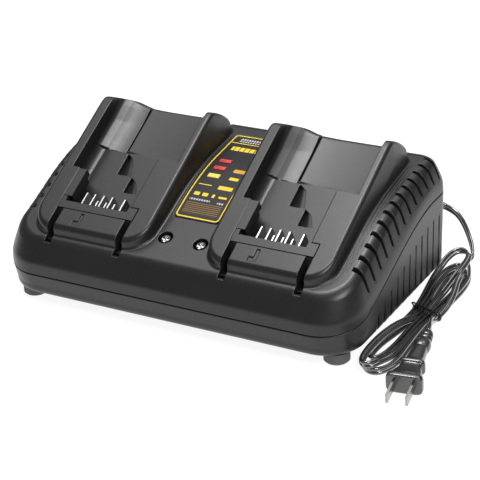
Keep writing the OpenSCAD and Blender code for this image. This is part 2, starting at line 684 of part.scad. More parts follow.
module strain_relief() {
    color([0.08, 0.08, 0.09]) translate([cord_x, rear_y - wall - 5, cord_z]) rotate([-90, 0, 0]) {
        cylinder(d = gland_d - 0.2, h = wall + 5 + 0.2, $fn = 32);
        translate([0, 0, -2]) cylinder(d = gland_d + 3, h = 1.9, $fn = 32);
        translate([0, 0, wall + 5.1]) cylinder(d = gland_d + 3, h = 2.4, $fn = 32);
        translate([0, 0, wall + 7.4])
            cylinder(d1 = gland_d, d2 = cord_w + 1.4, h = relief_l - 2.4 + 0.1, $fn = 32);
    }
}
module mains_cord() {
    color([0.05, 0.05, 0.05]) tube(lead_route, cord_w, 10);
}
module cord_tail() {
    color([0.05, 0.05, 0.05]) tube(tail_route, cord_w, 10);
}
module hank_outline(grow = 0) {
    for (k = [0 : 2]) hull() for (m = [k, k + 1])
        translate([hank_loops[m][0], hank_loops[m][1]]) circle(r = hank_loops[m][2] + grow, $fn = 32);
}
module cord_hank() {
    color([0.05, 0.05, 0.05]) linear_extrude(hank_h) hank_outline();
}
module hank_tie() {
    tie = hank_loops[1];
    color([0.04, 0.04, 0.04]) translate([tie[0], tie[1], 0]) difference() {
        translate([-tie[2] - 1.2, -1.5, 0]) cube([2 * tie[2] + 2.4, 3, hank_h + 1.2]);
        translate([-tie[2] - 0.06, -2, -1]) cube([2 * tie[2] + 0.12, 4, hank_h + 1]);
    }
}
module plug_frame() {
    translate(plug_heading) rotate([0, 0, -171.3]) rotate([-4, 0, 0]) children();
}
boot_l = 38;
module plug_body() {
    color([0.06, 0.06, 0.06]) plug_frame() {
        rotate([-90, 0, 0]) cylinder(d1 = cord_w + 1.4, d2 = 9.6, h = boot_l, $fn = 32);
        translate([-8.5, boot_l - 0.1, -5.6]) cube([17, 3.6, 11.2]);
        translate([-7, boot_l + 3.4, -5]) cube([14, 15, 10]);
        translate([-12, boot_l + 18.3, -7]) cube([24, 4.7, 14]);
    }
}
module plug_blades() {
    color([0.8, 0.8, 0.8]) plug_frame() for (way = [-1, 1])
        translate([way * plug_pitch / 2 - 0.76, boot_l + 23, -3.2]) cube([1.52, 17, 6.4]);
}

upper_housing();
lower_housing();
label_plate();
status_lenses();
panel_screws();
terminal_holder(-1);  // terminal_holder_left
terminal_holder(1);  // terminal_holder_right
terminal_blades(-1);  // terminal_blades_left
terminal_blades(1);  // terminal_blades_right
rail_key(-1);  // rail_key_left
rail_key(1);  // rail_key_right
housing_screws();
foot(-1, -1);  // foot_front_left
foot(1, -1);  // foot_front_right
foot(-1, 1);  // foot_rear_left
foot(1, 1);  // foot_rear_right
main_board();
board_screws();
transformer(-1);  // transformer_left
transformer(1);  // transformer_right
heat_sink(-1);  // heat_sink_left
heat_sink(1);  // heat_sink_right
power_transistors();
filter_capacitor();
output_capacitors();
mains_choke();
fuse();
lamp_board();
status_lamps();
strain_relief();
mains_cord();
cord_hank();
cord_tail();
hank_tie();
plug_body();
plug_blades();
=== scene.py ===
import functools
import math

import bpy
import numpy as np
import openvdb
from mathutils import Matrix, Vector


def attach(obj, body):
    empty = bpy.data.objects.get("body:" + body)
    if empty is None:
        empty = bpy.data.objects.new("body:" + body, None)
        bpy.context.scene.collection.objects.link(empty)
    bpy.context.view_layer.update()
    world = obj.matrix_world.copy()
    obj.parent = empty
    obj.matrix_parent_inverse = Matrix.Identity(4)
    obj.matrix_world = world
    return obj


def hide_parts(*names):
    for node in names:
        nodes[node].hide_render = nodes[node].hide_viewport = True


# Twin-bay slide-pack battery charger. Shapes are worked out in millimetres and built in metres.
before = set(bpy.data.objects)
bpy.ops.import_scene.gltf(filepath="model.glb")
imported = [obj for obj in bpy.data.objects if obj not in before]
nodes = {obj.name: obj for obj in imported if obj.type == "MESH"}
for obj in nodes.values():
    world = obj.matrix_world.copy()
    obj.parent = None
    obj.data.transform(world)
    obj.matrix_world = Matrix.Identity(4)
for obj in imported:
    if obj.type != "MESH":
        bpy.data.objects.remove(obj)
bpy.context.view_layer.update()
mm = 0.001
print("frame loaded:", len(nodes), "nodes")

view = {
    "lens": 122.78, "sensor": 36, "clip": (0.05, 20),
    "place": (0.54028, -0.88766, 0.54219),
    "azimuth": 30.69, "elevation": 26.09, "roll": -3.42,
}


def addObject(name, data):
    made = bpy.data.objects.new(name, data)
    bpy.context.scene.collection.objects.link(made)
    return made


def makeCamera():
    azimuth, elevation, roll = (math.radians(view[k]) for k in ("azimuth", "elevation", "roll"))
    level = math.cos(elevation)
    back = Vector((math.sin(azimuth) * level, -math.cos(azimuth) * level, math.sin(elevation)))
    right = Vector((math.cos(azimuth), math.sin(azimuth), 0))
    up = back.cross(right)
    tilted = right * math.cos(roll) + up * math.sin(roll)
    upright = up * math.cos(roll) - right * math.sin(roll)
    data = bpy.data.cameras.new("camera")
    data.lens = view["lens"]
    data.sensor_width = view["sensor"]
    data.clip_start, data.clip_end = view["clip"]
    camera = addObject("camera", data)
    turn = Matrix((tilted, upright, back)).transposed().to_4x4()
    camera.matrix_world = Matrix.Translation(view["place"]) @ turn
    bpy.context.scene.camera = camera


makeCamera()


def newMesh(name, points, faces):
    mesh = bpy.data.meshes.new(name)
    mesh.from_pydata([tuple(p) for p in points], [], [tuple(f) for f in faces])
    mesh.update()
    mesh.polygons.foreach_set("use_smooth", np.ones(len(mesh.polygons), bool))
    return addObject(name, mesh)


def band(low, high, around):
    # Quads between two rings, whose points start at low and at high.
    return [(low + b, low + (b + 1) % around, high + (b + 1) % around, high + b) for b in range(around)]


def joinRings(count, around):
    # Quads between closed rings, and one face over each end.
    last = (count - 1) * around
    faces = []
    for low in range(0, last, around):
        faces += band(low, low + around, around)
    return [*faces, tuple(reversed(range(around))), tuple(range(last, last + around))]


# The lead from the strain relief, three turns of the hank, and the end that goes to the plug
cord = {
    "width": 5.2, "thickness": 2.6, "groove": 0.7, "spacing": 1.7,
    # how far it leans over, and where on its way that starts and ends, as shares of its length
    "lean": 45, "leanStart": 0.07, "leanIn": 0.05, "leanEnd": 0.985, "leanOut": 0.03,
    "lead": [
        (112, 104, 37), (112.6, 108, 36.6), (115, 112.3, 35), (119.5, 115, 32.4), (125, 115.2, 30.4),
        (131, 113, 28.2), (136.5, 110, 24), (141, 107, 18.6), (144.4, 104.2, 13.6), (146.6, 102, 9.4),
        (147.9, 99.7, 6), (147.7, 97.2, 4.4), (146.7, 94.4, 3.9),
    ],
    "turns": [
        # down the right side, round the front and up the left side
        (147.6, 90.6, 3.4), (150.6, 85.6, 3), (154, 78.5, 2.8), (157.2, 70, 2.7), (159, 60, 2.7),
        (159.4, 47, 2.7), (158.7, 32, 2.7), (157.6, 19, 2.7), (156.9, 8, 2.7), (156.6, -6, 2.7),
        (157, -22, 2.7), (158, -38, 2.7), (158.6, -52, 2.7), (157, -63.5, 2.7), (152.6, -71.2, 2.7),
        (146.4, -73, 2.7), (140.4, -69, 2.7), (136.6, -61.5, 2.7), (135.2, -51, 2.7), (136, -39, 2.7),
        (138.9, -25, 2.7), (141, -11, 2.7), (141.7, 2, 2.7), (141.4, 14, 2.7), (139.4, 30, 2.7),
        (136.6, 47, 2.7), (134.2, 63, 2.8), (132.9, 77, 3.6), (133.5, 87, 5.8), (136.6, 94.2, 8.2),
        (141.7, 96.6, 9), (146.8, 93.6, 9), (149.9, 86.4, 9), (150.9, 77, 8.9),
        # second turn
        (150.8, 66, 7.8), (150.3, 53, 5.4), (149.6, 40, 3.2), (149.5, 25, 2.7), (150, 10, 2.7),
        (149.6, -5, 2.7), (149.3, -20, 2.7), (149.4, -34, 2.7), (148.7, -46, 2.7), (146.6, -55.5, 2.7),
        (143.4, -59.2, 2.7), (140.3, -56.6, 2.7), (138.9, -49, 2.7), (139.4, -37, 2.7), (141.7, -23, 2.7),
        (143.9, -9, 2.7), (144.5, 3, 2.7), (144.3, 14, 2.7), (142.9, 29, 2.7), (140.5, 44, 2.7),
        (138.6, 58, 2.7), (138.4, 69, 2.7), (139.9, 78.5, 2.7), (143.4, 84.2, 2.7), (147.8, 82.6, 2.7),
        (151.2, 75.6, 2.7), (154, 66, 2.7), (155.6, 54, 2.7), (156, 41, 2.7), (155.2, 26, 2.7),
        (153.7, 11, 2.7), (152.7, -4, 2.7), (152.4, -19, 2.7), (153, -34, 2.8), (153.8, -47, 3.6),
        # third turn, over the ends of the others
        (153.5, -58, 6), (151.9, -67.5, 8), (148.6, -74.4, 8.2), (144.2, -75.4, 8.2), (140.9, -70, 8.2),
        (139.3, -60, 8.1), (138.9, -49, 8), (139.6, -36, 8), (141.9, -22, 7.8), (144.6, -9, 6.2),
        (146.6, 2, 3.6), (147.1, 12, 2.7), (146.2, 27, 2.7), (144.4, 42, 2.7), (143, 55, 2.7),
        (143.2, 65, 2.9), (145.6, 72.4, 3.3), (149.6, 73.6, 3.6), (152.6, 68.4, 5), (154.5, 59.5, 7.8),
        (156.6, 49, 8.6), (159.2, 39, 8.6), (161.3, 28.5, 8.2), (162.2, 18, 7.2), (161.9, 9.5, 6.4),
    ],
    "tail": [
        (161.3, 2, 6), (161.7, -3, 7.8), (162.9, -10, 10), (165, -17, 11.4), (166.8, -22, 11.7),
        (168, -27, 11.5),
    ],
}


def alongLine(line):
    # How far along the line each of its points is.
    return np.concatenate([[0], np.cumsum(np.linalg.norm(np.diff(line, axis=0), axis=1))])


def evenly(line, count, endpoint=True):
    # A number of evenly spaced points along the same line.
    far = alongLine(line)
    at = np.linspace(0, far[-1], count, endpoint=endpoint)
    return np.stack([np.interp(at, far, axis) for axis in line.T], 1)


def smoothLine(points, spacing, steps=24, passes=12):
    # A smooth curve through the points, with evenly spaced steps.
    p = np.array(points, float)
    p = np.vstack([2 * p[0] - p[1], p, 2 * p[-1] - p[-2]])
    t = np.linspace(0, 1, steps, endpoint=False)[:, None]
    parts = []
    for k in range(1, len(p) - 2):
        a, b, c, d = p[k - 1:k + 3]
        curve = 2 * b + (c - a) * t + (2 * a - 5 * b + 4 * c - d) * t ** 2
        parts.append(0.5 * (curve + (3 * b - a - 3 * c + d) * t ** 3))
    line = np.vstack([*parts, p[-2:-1]])
    for _ in range(passes):
        line[1:-1] = line[1:-1] * 0.5 + (line[:-2] + line[2:]) * 0.25
    return evenly(line, int(alongLine(line)[-1] / spacing) + 1)


def sweep(name, line, section, tilt=None):
    # Carries a section of (across, up) points along a line, kept upright.
    along = np.gradient(line, axis=0)
    along /= np.linalg.norm(along, axis=1)[:, None]
    across = np.cross(along, [0, 0, 1])
    across /= np.linalg.norm(across, axis=1)[:, None]
    up = np.cross(across, along)
    if tilt is not None:
        tilt = tilt * along[:, 1]
        c, s = np.cos(tilt)[:, None], np.sin(tilt)[:, None]
        across, up = across * c + up * s, up * c - across * s
    points = line[:, None] + across[:, None] * section[None, :, :1] + up[:, None] * section[None, :, 1:]
    return newMesh(name, (points.reshape(-1, 3) * mm).tolist(), joinRings(len(line), len(section)))


def flatSection():
    # Two round cores side by side with a groove between them.
    r = cord["thickness"] / 2
    apart = cord["width"] / 2 - r
    around = [math.radians(a) for a in (-42, -20, 0, 25, 50, 75, 90, 105, 130, 155, 180, 200, 222)]
    upper = [(r * math.cos(a), apart + r * math.sin(a)) for a in around]
    lower = [(-x, -y) for x, y in upper]
    waist = r - cord["groove"]
    return np.array([(waist, 0), *upper, (-waist, 0), *lower])


def makeCord():
    line = smoothLine([*cord["lead"], *cord["turns"], *cord["tail"]], cord["spacing"])
    # The flat cord leans over in the straight runs of the hank and stands up in its bends.
    share = np.arange(len(line)) / len(line)
    rising = np.clip((share - cord["leanStart"]) / cord["leanIn"], 0, 1)
    falling = np.clip((cord["leanEnd"] - share) / cord["leanOut"], 0, 1)
    piece = sweep("flatCord", line, flatSection(), math.radians(cord["lean"]) * rising * falling)
    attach(piece, "root")
    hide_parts("mains_cord", "cord_hank", "cord_tail")
    length = float(alongLine(line)[-1]) * mm
    print("cord", round(length, 3), "m")
    return piece, line, length


cordPiece, cordLine, cordLength = makeCord()


plug = {
    "place": (168, -27, 11.5), "turn": -171.3, "tilt": -4, "around": 44,
    # distance from the boot's end, half width, half height and squareness of each section
    "sections": [
        (0, 3.1, 2.6, 2), (0.5, 3.7, 3.1, 2), (4, 4.4, 3.6, 2), (5, 4.4, 3.6, 2), (5.4, 3.9, 3.2, 2),
        (6.6, 3.9, 3.2, 2), (7, 4.8, 3.9, 2), (9, 4.9, 4, 2), (9.4, 4.3, 3.5, 2), (10.6, 4.3, 3.5, 2),
        (11, 5.1, 4.2, 2), (13.5, 5.2, 4.3, 2), (14, 5.6, 4.8, 2.4), (14.6, 5.9, 5, 2.4),
        (19, 5.5, 5, 2.4), (19.7, 5.2, 4.8, 2.4), (20, 4.7, 4.4, 2.4), (21, 4.7, 4.4, 2.4),
        (21.6, 5.1, 4.6, 2.4), (30, 5.6, 4.7, 2.6), (36, 6, 4.8, 3), (37.6, 6.3, 4.9, 3.4),
        (38.1, 7.6, 5.3, 4.4), (38.6, 8.3, 5.6, 4.8), (39.8, 8.5, 5.7, 5), (41, 8.3, 5.6, 4.8),
        (41.5, 7.7, 5.2, 4.4), (42, 6.9, 4.6, 4), (43, 6.9, 4.5, 4), (47, 8.1, 4.8, 4),
        (51, 9.6, 5.3, 4.4), (54, 10.8, 5.8, 4.6), (56, 11.6, 6.5, 5), (56.8, 11.9, 6.9, 5.4),
        (58, 12, 7, 5.6), (60.3, 12, 7, 5.6), (61, 11.6, 6.7, 5.6), (61.3, 10.9, 6.2, 5.6),
        (61.4, 6, 3.4, 4), (61.4, 0.4, 0.3, 4),
    ],
}
relief = {
    "x": 112, "z": 37, "around": 32,
    # distance back from the middle and radius of the gland, from the inside out
    "profile": [
        (74.2, 0.1), (74.2, 5.6), (74.6, 6), (75.8, 6), (76.1, 5.6), (76.1, 4.4), (84.05, 4.4),
        (84.05, 5.7), (84.4, 6), (85.9, 6), (86.5, 5.4), (86.7, 4.7), (87.6, 4.5),
    ],
    # the sleeve's rings: radius at both ends, and how much thinner each ring is at which share of its length
    "rings": 5, "radius": 4.5, "end": 104.1, "endRadius": 3.2, "mouth": (0.2, 2.7),
    "ringShape": [(0.15, 0), (0.55, 0.05), (0.62, 0.7), (0.88, 0.75), (0.97, 0.1)],
}
tie = {
    "middle": (151.4, 9), "along": (0.879, -0.477), "width": 2.6, "thickness": 0.8, "gap": 0.35,
    "strand": 2.1,  # radius of each strand that it goes round
    "reach": 20, "top": 12,  # how far out and how high the strands are looked for
    "clear": 0.05, "steps": 120, "passes": 3,
    "section": [
        (-0.5, -0.3), (-0.5, 0.3), (-0.3, 0.5), (0.3, 0.5),
        (0.5, 0.3), (0.5, -0.3), (0.3, -0.5), (-0.3, -0.5),
    ],
    # the twisted eye at its left end
    "eyeHeight": 4.6, "eyeIn": 0.6, "eyeBack": 1.2, "eyeRadius": 1.4, "eyeTwist": 0.5, "eyeOpen": 0.35,
    "wire": 0.55,
}


def superRing(halfX, halfZ, power, count):
    ring = []
    for k in range(count):
        a = 2 * math.pi * k / count
        c, s = math.cos(a), math.sin(a)
        r = (abs(c) ** power + abs(s) ** power) ** (-1 / power)
        ring.append((halfX * c * r, halfZ * s * r))
    return ring


def makePlug():
    turn = Matrix.Rotation(math.radians(plug["turn"]), 3, "Z")
    turn = turn @ Matrix.Rotation(math.radians(plug["tilt"]), 3, "X")
    place = Vector(plug["place"])
    points = []
    for y, halfX, halfZ, power in plug["sections"]:
        ring = superRing(halfX, halfZ, power, plug["around"])
        points += [(place + turn @ Vector((x, y, z))) * mm for x, z in ring]
    piece = newMesh("plugBody", points, joinRings(len(plug["sections"]), plug["around"]))
    subdivide = piece.modifiers.new("smooth", "SUBSURF")
    subdivide.levels = subdivide.render_levels = 1
    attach(piece, "root")
    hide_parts("plug_body")
    return piece


def makeRelief():
    profile = list(relief["profile"])
    start, last = profile[-1][0], relief["end"]
    step = (last - start) / relief["rings"]
    for k in range(relief["rings"]):
        r = relief["radius"] + (relief["endRadius"] - relief["radius"]) * (k + 0.5) / relief["rings"]
        profile += [(start + k * step + share * step, r - drop) for share, drop in relief["ringShape"]]
    further, mouth = relief["mouth"]
    profile += [(last, relief["endRadius"]), (last + further, mouth)]
    turns = [2 * math.pi * k / relief["around"] for k in range(relief["around"])]
    x, z = relief["x"], relief["z"]
    points = [(x + r * math.cos(a), y, z + r * math.sin(a)) for y, r in profile for a in turns]
    faces = joinRings(len(profile), relief["around"])
    piece = newMesh("strainRelief", (np.array(points) * mm).tolist(), faces)
    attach(piece, "root")
    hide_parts("strain_relief")
    return piece


def bendsIn(a, b, c):
    # Whether the way from a over b to c is straight or turns to the right.
    return (b[0] - a[0]) * (c[1] - a[1]) <= (b[1] - a[1]) * (c[0] - a[0])


def hullOf(points):
    points = sorted(set(points))
    sides = []
    for order in (points, points[::-1]):
        chain = []
        for p in order:
            while len(chain) > 1 and bendsIn(chain[-2], chain[-1], p):
                chain.pop()
            chain.append(p)
        sides += chain[:-1]
    return np.array(sides)


def tieRing(normal, along):
    # The band's middle line round all the strands that it crosses, as (along, up) points.
    offset = cordLine - np.array([*tie["middle"], 0])
    side, t, z = offset @ normal, offset @ along, cordLine[:, 2]
    crosses = np.sign(side[1:]) != np.sign(side[:-1])
    crosses &= (np.abs(t[1:]) < tie["reach"]) & (z[1:] < tie["top"])
    grow = tie["strand"] + (tie["gap"] + tie["thickness"] / 2)
    corners = []
    for k in np.nonzero(crosses)[0]:
        for a in range(16):
            c, s = math.cos(a * math.pi / 8), math.sin(a * math.pi / 8)
            corners.append((round(float(t[k] + grow * c), 3), round(float(z[k] + grow * s), 3)))
    hull = hullOf(corners)
    closed = np.vstack([hull, hull[:1]])
    ring = evenly(closed, tie["steps"], endpoint=False)
    for _ in range(tie["passes"]):
        ring = ring * 0.5 + (np.roll(ring, 1, 0) + np.roll(ring, -1, 0)) * 0.25
    ring[:, 1] = np.maximum(ring[:, 1], tie["thickness"] / 2 + tie["clear"])
    return ring


def makeTie():
    # A coated wire round all the strands, twisted into an eye at its left end.
    along = np.array([*tie["along"], 0])
    normal = np.array([-along[1], along[0], 0])
    middle = np.array([*tie["middle"], 0])
    ring = tieRing(normal, along)
    out = ring - np.roll(ring, 1, 0)
    out = np.stack([out[:, 1], -out[:, 0]], 1) / np.linalg.norm(out, axis=1)[:, None]
    points = []
    for (a, z), (outAlong, outUp) in zip(ring, out):
        for across, thick in tie["section"]:
            h = thick * tie["thickness"]
            up = np.array([0, 0, z + outUp * h])
            points.append(middle + along * (a + outAlong * h) + normal * across * tie["width"] + up)
    count, around = len(ring), len(tie["section"])
    faces = []
    for k in range(count):
        faces += band(k * around, (k + 1) % count * around, around)
    piece = newMesh("hankTie", (np.array(points) * mm).tolist(), faces)
    left = middle + along * (ring[:, 0].min() + tie["eyeIn"]) + np.array([0, 0, tie["eyeHeight"]])
    eye = []
    for a in np.linspace(tie["eyeOpen"], 2 * math.pi - tie["eyeOpen"], 40):
        up = np.array([0, 0, tie["eyeRadius"] * math.sin(a)])
        outward = along * (-tie["eyeBack"] + tie["eyeRadius"] * math.cos(a))
        eye.append(left + outward + normal * tie["eyeTwist"] * math.sin(a * 2) + up)
    turns = np.linspace(0, 2 * math.pi, 10, endpoint=False)
    circle = np.array([(tie["wire"] * math.cos(a), tie["wire"] * math.sin(a)) for a in turns])
    ends = sweep("tieEye", np.array(eye), circle)
    for each in (piece, ends):
        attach(each, "root")
    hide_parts("hank_tie")
    return piece, ends


plugPiece, reliefPiece = makePlug(), makeRelief()
tiePiece, tieEye = makeTie()
print("cord, plug, strain relief and tie made")


class Socket:
    # Wraps a node's output so that + - * / and ** add Math nodes.
    def __init__(self, paint, output):
        self.paint = paint
        self.output = output

    def math(self, operation, *values):
        return self.paint.add("Math", {"operation": operation}, **{str(k): v for k, v in enumerate(values)})

    def __add__(self, other):
        return self.math("ADD", self, other)

    __radd__ = __add__

    def __sub__(self, other):
        return self.math("SUBTRACT", self, other)

    def __rsub__(self, other):
        return self.math("SUBTRACT", other, self)

    def __mul__(self, other):
        return self.math("MULTIPLY", self, other)

    __rmul__ = __mul__

    def __truediv__(self, other):
        return self.math("DIVIDE", self, other)

    def __pow__(self, other):
        return self.math("POWER", self, other)

    def abs(self):
        return self.math("ABSOLUTE", self)

    def least(self, other):
        return self.math("MINIMUM", self, other)

    def most(self, other):
        return self.math("MAXIMUM", self, other)

    def clip(self):
        return self.least(1.0).most(0.0)

    def wave(self):
        return self.math("SINE", self)

    def angle(self, across):
        return self.math("ARCTAN2", self, across)

    def above(self, edge, soft):
        # From 0 below the edge to 1 above it, over a width of soft.
        return ((self - edge) / soft + 0.5).clip()

    def between(self, low, high, soft):
        return self.above(low, soft) * (1 - self.above(high, soft))


class Paint:
    # One material: nodes come from add(), and the surface's own sockets are set at the end.
    def __init__(self, name):
        self.material = bpy.data.materials.new(name)
        self.material.use_nodes = True
        self.tree = self.material.node_tree
        self.surface = self.tree.nodes["Principled BSDF"]

    def fill(self, node, values):
        # Links or sets sockets by number or name. A colour gets its full alpha.
        for key, value in values.items():
            slot = node.inputs[int(key) if key.isdigit() else key.replace("_", " ")]
            if isinstance(value, Socket):
                self.tree.links.new(value.output, slot)
            elif value is not None:
                slot.default_value = (*value, 1) if slot.type == "RGBA" else value

    def add(self, kind, settings=None, output=0, **values):
        node = self.tree.nodes.new("ShaderNode" + kind)
        for key, value in (settings or {}).items():
            setattr(node, key, value)
        self.fill(node, values)
        return Socket(self, node.outputs[output])

    def place(self):
        return self.add("TexCoord", output=3)

    def axes(self):
        # The place on the part, in millimetres.
        split = self.add("SeparateXYZ", Vector=self.place()).output.node
        return [Socket(self, split.outputs[k]) * 1000.0 for k in range(3)]

    def noise(self, scale, detail=3.0, roughness=0.5, stretch=None):
        vector = self.place()
        if stretch:
            vector = self.add("VectorMath", {"operation": "MULTIPLY"}, **{"0": vector, "1": stretch})
        return self.add("TexNoise", Vector=vector, Scale=scale, Detail=detail, Roughness=roughness)

    def mix(self, factor, first, second):
        return self.add("Mix", {"data_type": "RGBA"}, output=2, **{"0": factor, "6": first, "7": second})

    def bump(self, height, strength, distance=0.0002, normal=None):
        return self.add("Bump", Height=height, Strength=strength, Distance=distance, Normal=normal)

    def finish(self, colour, gloss, normal=None, **others):
        self.fill(self.surface, {"Base Color": colour, "Roughness": gloss, "Normal": normal, **others})
        return self.material


# The same sizes as the solids have, in millimetres.
housing = {
    "width": 276, "depth": 168, "frontCorner": 30, "rearCorner": 18, "wall": 2.8,
    "seamFront": 24.5, "seamRear": 66, "seamAhead": 8, "seamRun": 148,
    "band": 7.5, "base": 8, "keel": 5.5, "baseRise": 11, "baseDraft": 1.2,
    "frontLean": 10, "sideLean": 9, "rearLean": 11.5, "bulge": 0.7,
    # the wall's foot over the band, how far it stands in there, and the band's own draft
    "foot": 3.4, "footInset": 1.7, "footSoft": 1.6, "bandDraft": 0.05,
    # the top edge: its least radius, what softness adds, what sides and rear add to softness, and its reach
    "edgeLeast": 1, "edgeSoft": 1.9, "sideSoft": 0.8, "rearSoft": 1.4, "edgeDown": 2.1, "edgeIn": 1.6,
    "crest": 50.2, "frontSlope": 18, "bend": 21.5, "bendSoft": 2.5, "middleSlope": 24.8,
    "rearTop": 92, "rearSlope": 7.7, "rearBlend": 8,
}
bay = {
    "slope": 28.2, "pitch": 139, "deckHeight": 58.2, "deckStart": 13.3,
    "cradleWidth": 92, "cradleReach": 104.5, "cradleCorner": 17, "cradleRearCorner": 9,
    "cradleInset": 0.4, "cradleEdge": 2.8, "cradleRoot": 26, "cradleCover": 5,
    # how far the cradle's foot spreads, in front too, and over which drop below the deck
    "flare": 2.5, "flareFront": 0.6, "flareFrom": 3, "flareRun": 14, "flareLeast": 0.35,
    "depth": 15.2, "width": 77.8, "shift": 1.6, "hollow": 7, "hollowRear": 2.5, "rightCorner": 2,
    "innerEdge": 0.5, "railGap": 49.2, "undercut": 62.4, "lip": 6, "overlap": 1,
    "slotWidth": 5, "slotOut": 30.7, "slotRun": 17.5, "slotDepth": 2.6, "slotAhead": 2,
    "holderRun": 10.4, "holderGap": 0.2, "holderSide": 0.3,
    # the narrow part's run, the step and the right lip from its end, and the rear lip from the deck's front
    "narrowRun": 25.6, "stepRun": 29.9, "stepSoft": 1.4, "rightLipRun": 18.7, "rearLip": 118,
    "panelDrop": 0.3, "panelEdge": -30, "panelSoft": 4, "panelCrown": 0.0014, "panelMiddle": 13.6,
    "troughEdge": -13.2, "troughDrop": 1.5, "troughFall": 1.1, "troughFallRun": 12,
    "troughSlope": 0.07, "troughCurve": 120,
    "grooveMiddle": -13.7, "grooveHalf": 1.65, "grooveDepth": 6.5,
    # left edge, how far before the step it starts and ends, and width there
    "pockets": [(-11, 20, 1.5, 11, 4.5), (1.5, 34.5, 21, 10.5, 3.5)], "pocketDepth": 4, "pocketSlant": 0.7,
    # middle and half size of each stroke in the tongue
    "tongueMark": [((-8.2, 10.3), (1.2, 4.6)), ((-10.6, 6.6), (2.2, 1.7))], "markDepth": 1,
    # the rear lip's fall in degrees, and its edge and rim from the left bump to the right
    "lipTurn": 32, "lipEdge": [(-45, 14), (-40, 9.2), (-34, 6.6), (-27, 4), (-19, 1.7), (-11, 0.3), (0, 0)],
    "lipRim": [(-34, 7.6), (-25, 4.9), (-14, 0.8)], "lipLow": 0.3, "lipRight": 1,
    "crownRun": 32, "crownDrop": 18, "crownFall": 0.3, "crownSoft": 3,
}
vents = {
    "pitch": 9.57, "count": 13, "start": 35.6, "shoulder": 1.4, "foot": 1.0, "low": 3.2, "inward": 4.2,
    "rearWidth": 2.3, "rearPitch": 7.6, "rearFirst": 32, "rearCount": 11, "rearLow": 11, "rearInward": 4,
    "flankPitch": 9.9, "flankStart": 48.2, "flankCount": 12, "flankTop": 15, "flankInward": 11,
    "flankWide": 1.7, "flankNarrow": 0.6, "flankTaper": 0.05,
}
panel = {
    "screwX": 13.8, "screwY": 31, "recess": 10.4, "recessDepth": 3.6, "tilt": 21.4,
    "labelFront": 49, "labelRear": 141, "labelHalf": 18, "labelCorner": 3, "labelGap": 0.3, "labelSeat": 0.6,
}
# radius of each kind of edge, and half the gap along the seam
edges = {
    "cradleFoot": 1.6, "bay": 0.55, "rearLip": 2.2, "detail": 0.45, "sideVent": 0.3, "rearVent": 0.5,
    "flankVent": 0.4, "seam": 0.7, "seamGap": 0.2,
}

frontY = -housing["depth"] / 2
rearY = housing["depth"] / 2
crestY = frontY + housing["frontLean"]
rearCrestY = rearY - housing["rearLean"]
deckY = frontY + bay["deckStart"]
grade = math.tan(math.radians(bay["slope"]))
cosSlope = math.cos(math.radians(bay["slope"]))
sinSlope = math.sin(math.radians(bay["slope"]))
wideFrom = bay["slotRun"] + bay["holderRun"] + bay["narrowRun"]
floorStep = wideFrom + bay["stepRun"]
rightLipEnd = wideFrom + bay["rightLipRun"]
bayLeft = bay["shift"] - bay["width"] / 2
bayRight = bay["shift"] + bay["width"] / 2
slotEndY = deckY + bay["slotRun"] * cosSlope
lipY = deckY + bay["rearLip"]


def inAll(*shapes):
    return functools.reduce(np.maximum, shapes)


def inAny(*shapes):
    return functools.reduce(np.minimum, shapes)


def softMin(a, b, k):
    h = np.maximum(k - np.abs(a - b), 0) / k
    return np.minimum(a, b) - h * h * k / 4


def softMax(a, b, k):
    return -softMin(-a, -b, k)


def roundMax(a, b, r):
    # Intersection with its outer edge rounded to radius r.
    return np.minimum(np.maximum(a, b), -r) + np.hypot(np.maximum(a + r, 0), np.maximum(b + r, 0))


def roundMin(a, b, r):
    return -roundMax(-a, -b, r)


def seamHeight(y):
    t = np.clip((y - frontY + housing["seamAhead"]) / housing["seamRun"], 0, 1)
    return housing["seamFront"] + (housing["seamRear"] - housing["seamFront"]) * t * t * (3 - 2 * t)


def topHeight(y):
    slopes = ("frontSlope", "middleSlope", "rearSlope")
    frontRise, middleRise, rearRise = (math.tan(math.radians(housing[k])) for k in slopes)
    bend = crestY + housing["bend"]
    front = housing["crest"] + frontRise * (y - crestY)
    atBend = housing["crest"] + frontRise * (bend - crestY)
    middle = atBend + middleRise * (y - bend)
    rear = housing["rearTop"] + rearRise * (y - rearCrestY)
    return softMin(softMax(front, middle, housing["bendSoft"]), rear, housing["rearBlend"])


def deckHeight(y):
    return bay["deckHeight"] + grade * (y - deckY)


def crownHeight(y):
    crownY = deckY + bay["cradleReach"]
    t = np.clip((y - crownY) / bay["crownRun"], 0, 0.995)
    fall = bay["crownFall"] * np.maximum(y - crownY, 0) + bay["crownDrop"] * (1 - np.sqrt(1 - t * t))
    return softMin(deckHeight(y), deckHeight(crownY) - fall, bay["crownSoft"])


class Curve:
    # A height along y and its steepness, looked up from a table.
    def __init__(self, function, beyond=20, rows=1700):
        self.y = np.linspace(frontY - beyond, rearY + beyond, rows)
        self.z = function(self.y)
        slope = np.gradient(self.z, self.y)
        self.shrink = 1 / np.sqrt(1 + slope * slope)

    def height(self, y):
        return np.interp(y, self.y, self.z)

    def above(self, y, z):
        return (z - np.interp(y, self.y, self.z)) * np.interp(y, self.y, self.shrink)


seam, top, crown = Curve(seamHeight), Curve(topHeight), Curve(crownHeight)


def outline(x, y, halfWidth, y0, y1, rFront, rRear):
    # Distance to a rounded rectangle in plan, and how far its nearest side faces to the front or back.
    middle, half = (y0 + y1) / 2, (y1 - y0) / 2
    r = np.where(y < middle, rFront, rRear)
    qx = np.abs(x) - halfWidth + r
    qy = np.abs(y - middle) - half + r
    px, py = np.maximum(qx, 0), np.maximum(qy, 0)
    far = np.hypot(px, py)
    distance = np.minimum(np.maximum(qx, qy), 0) + far - r
    facing = np.where(far > 0, py / np.maximum(far, 1e-6), (qy > qx) * 1.0)
    return distance, facing


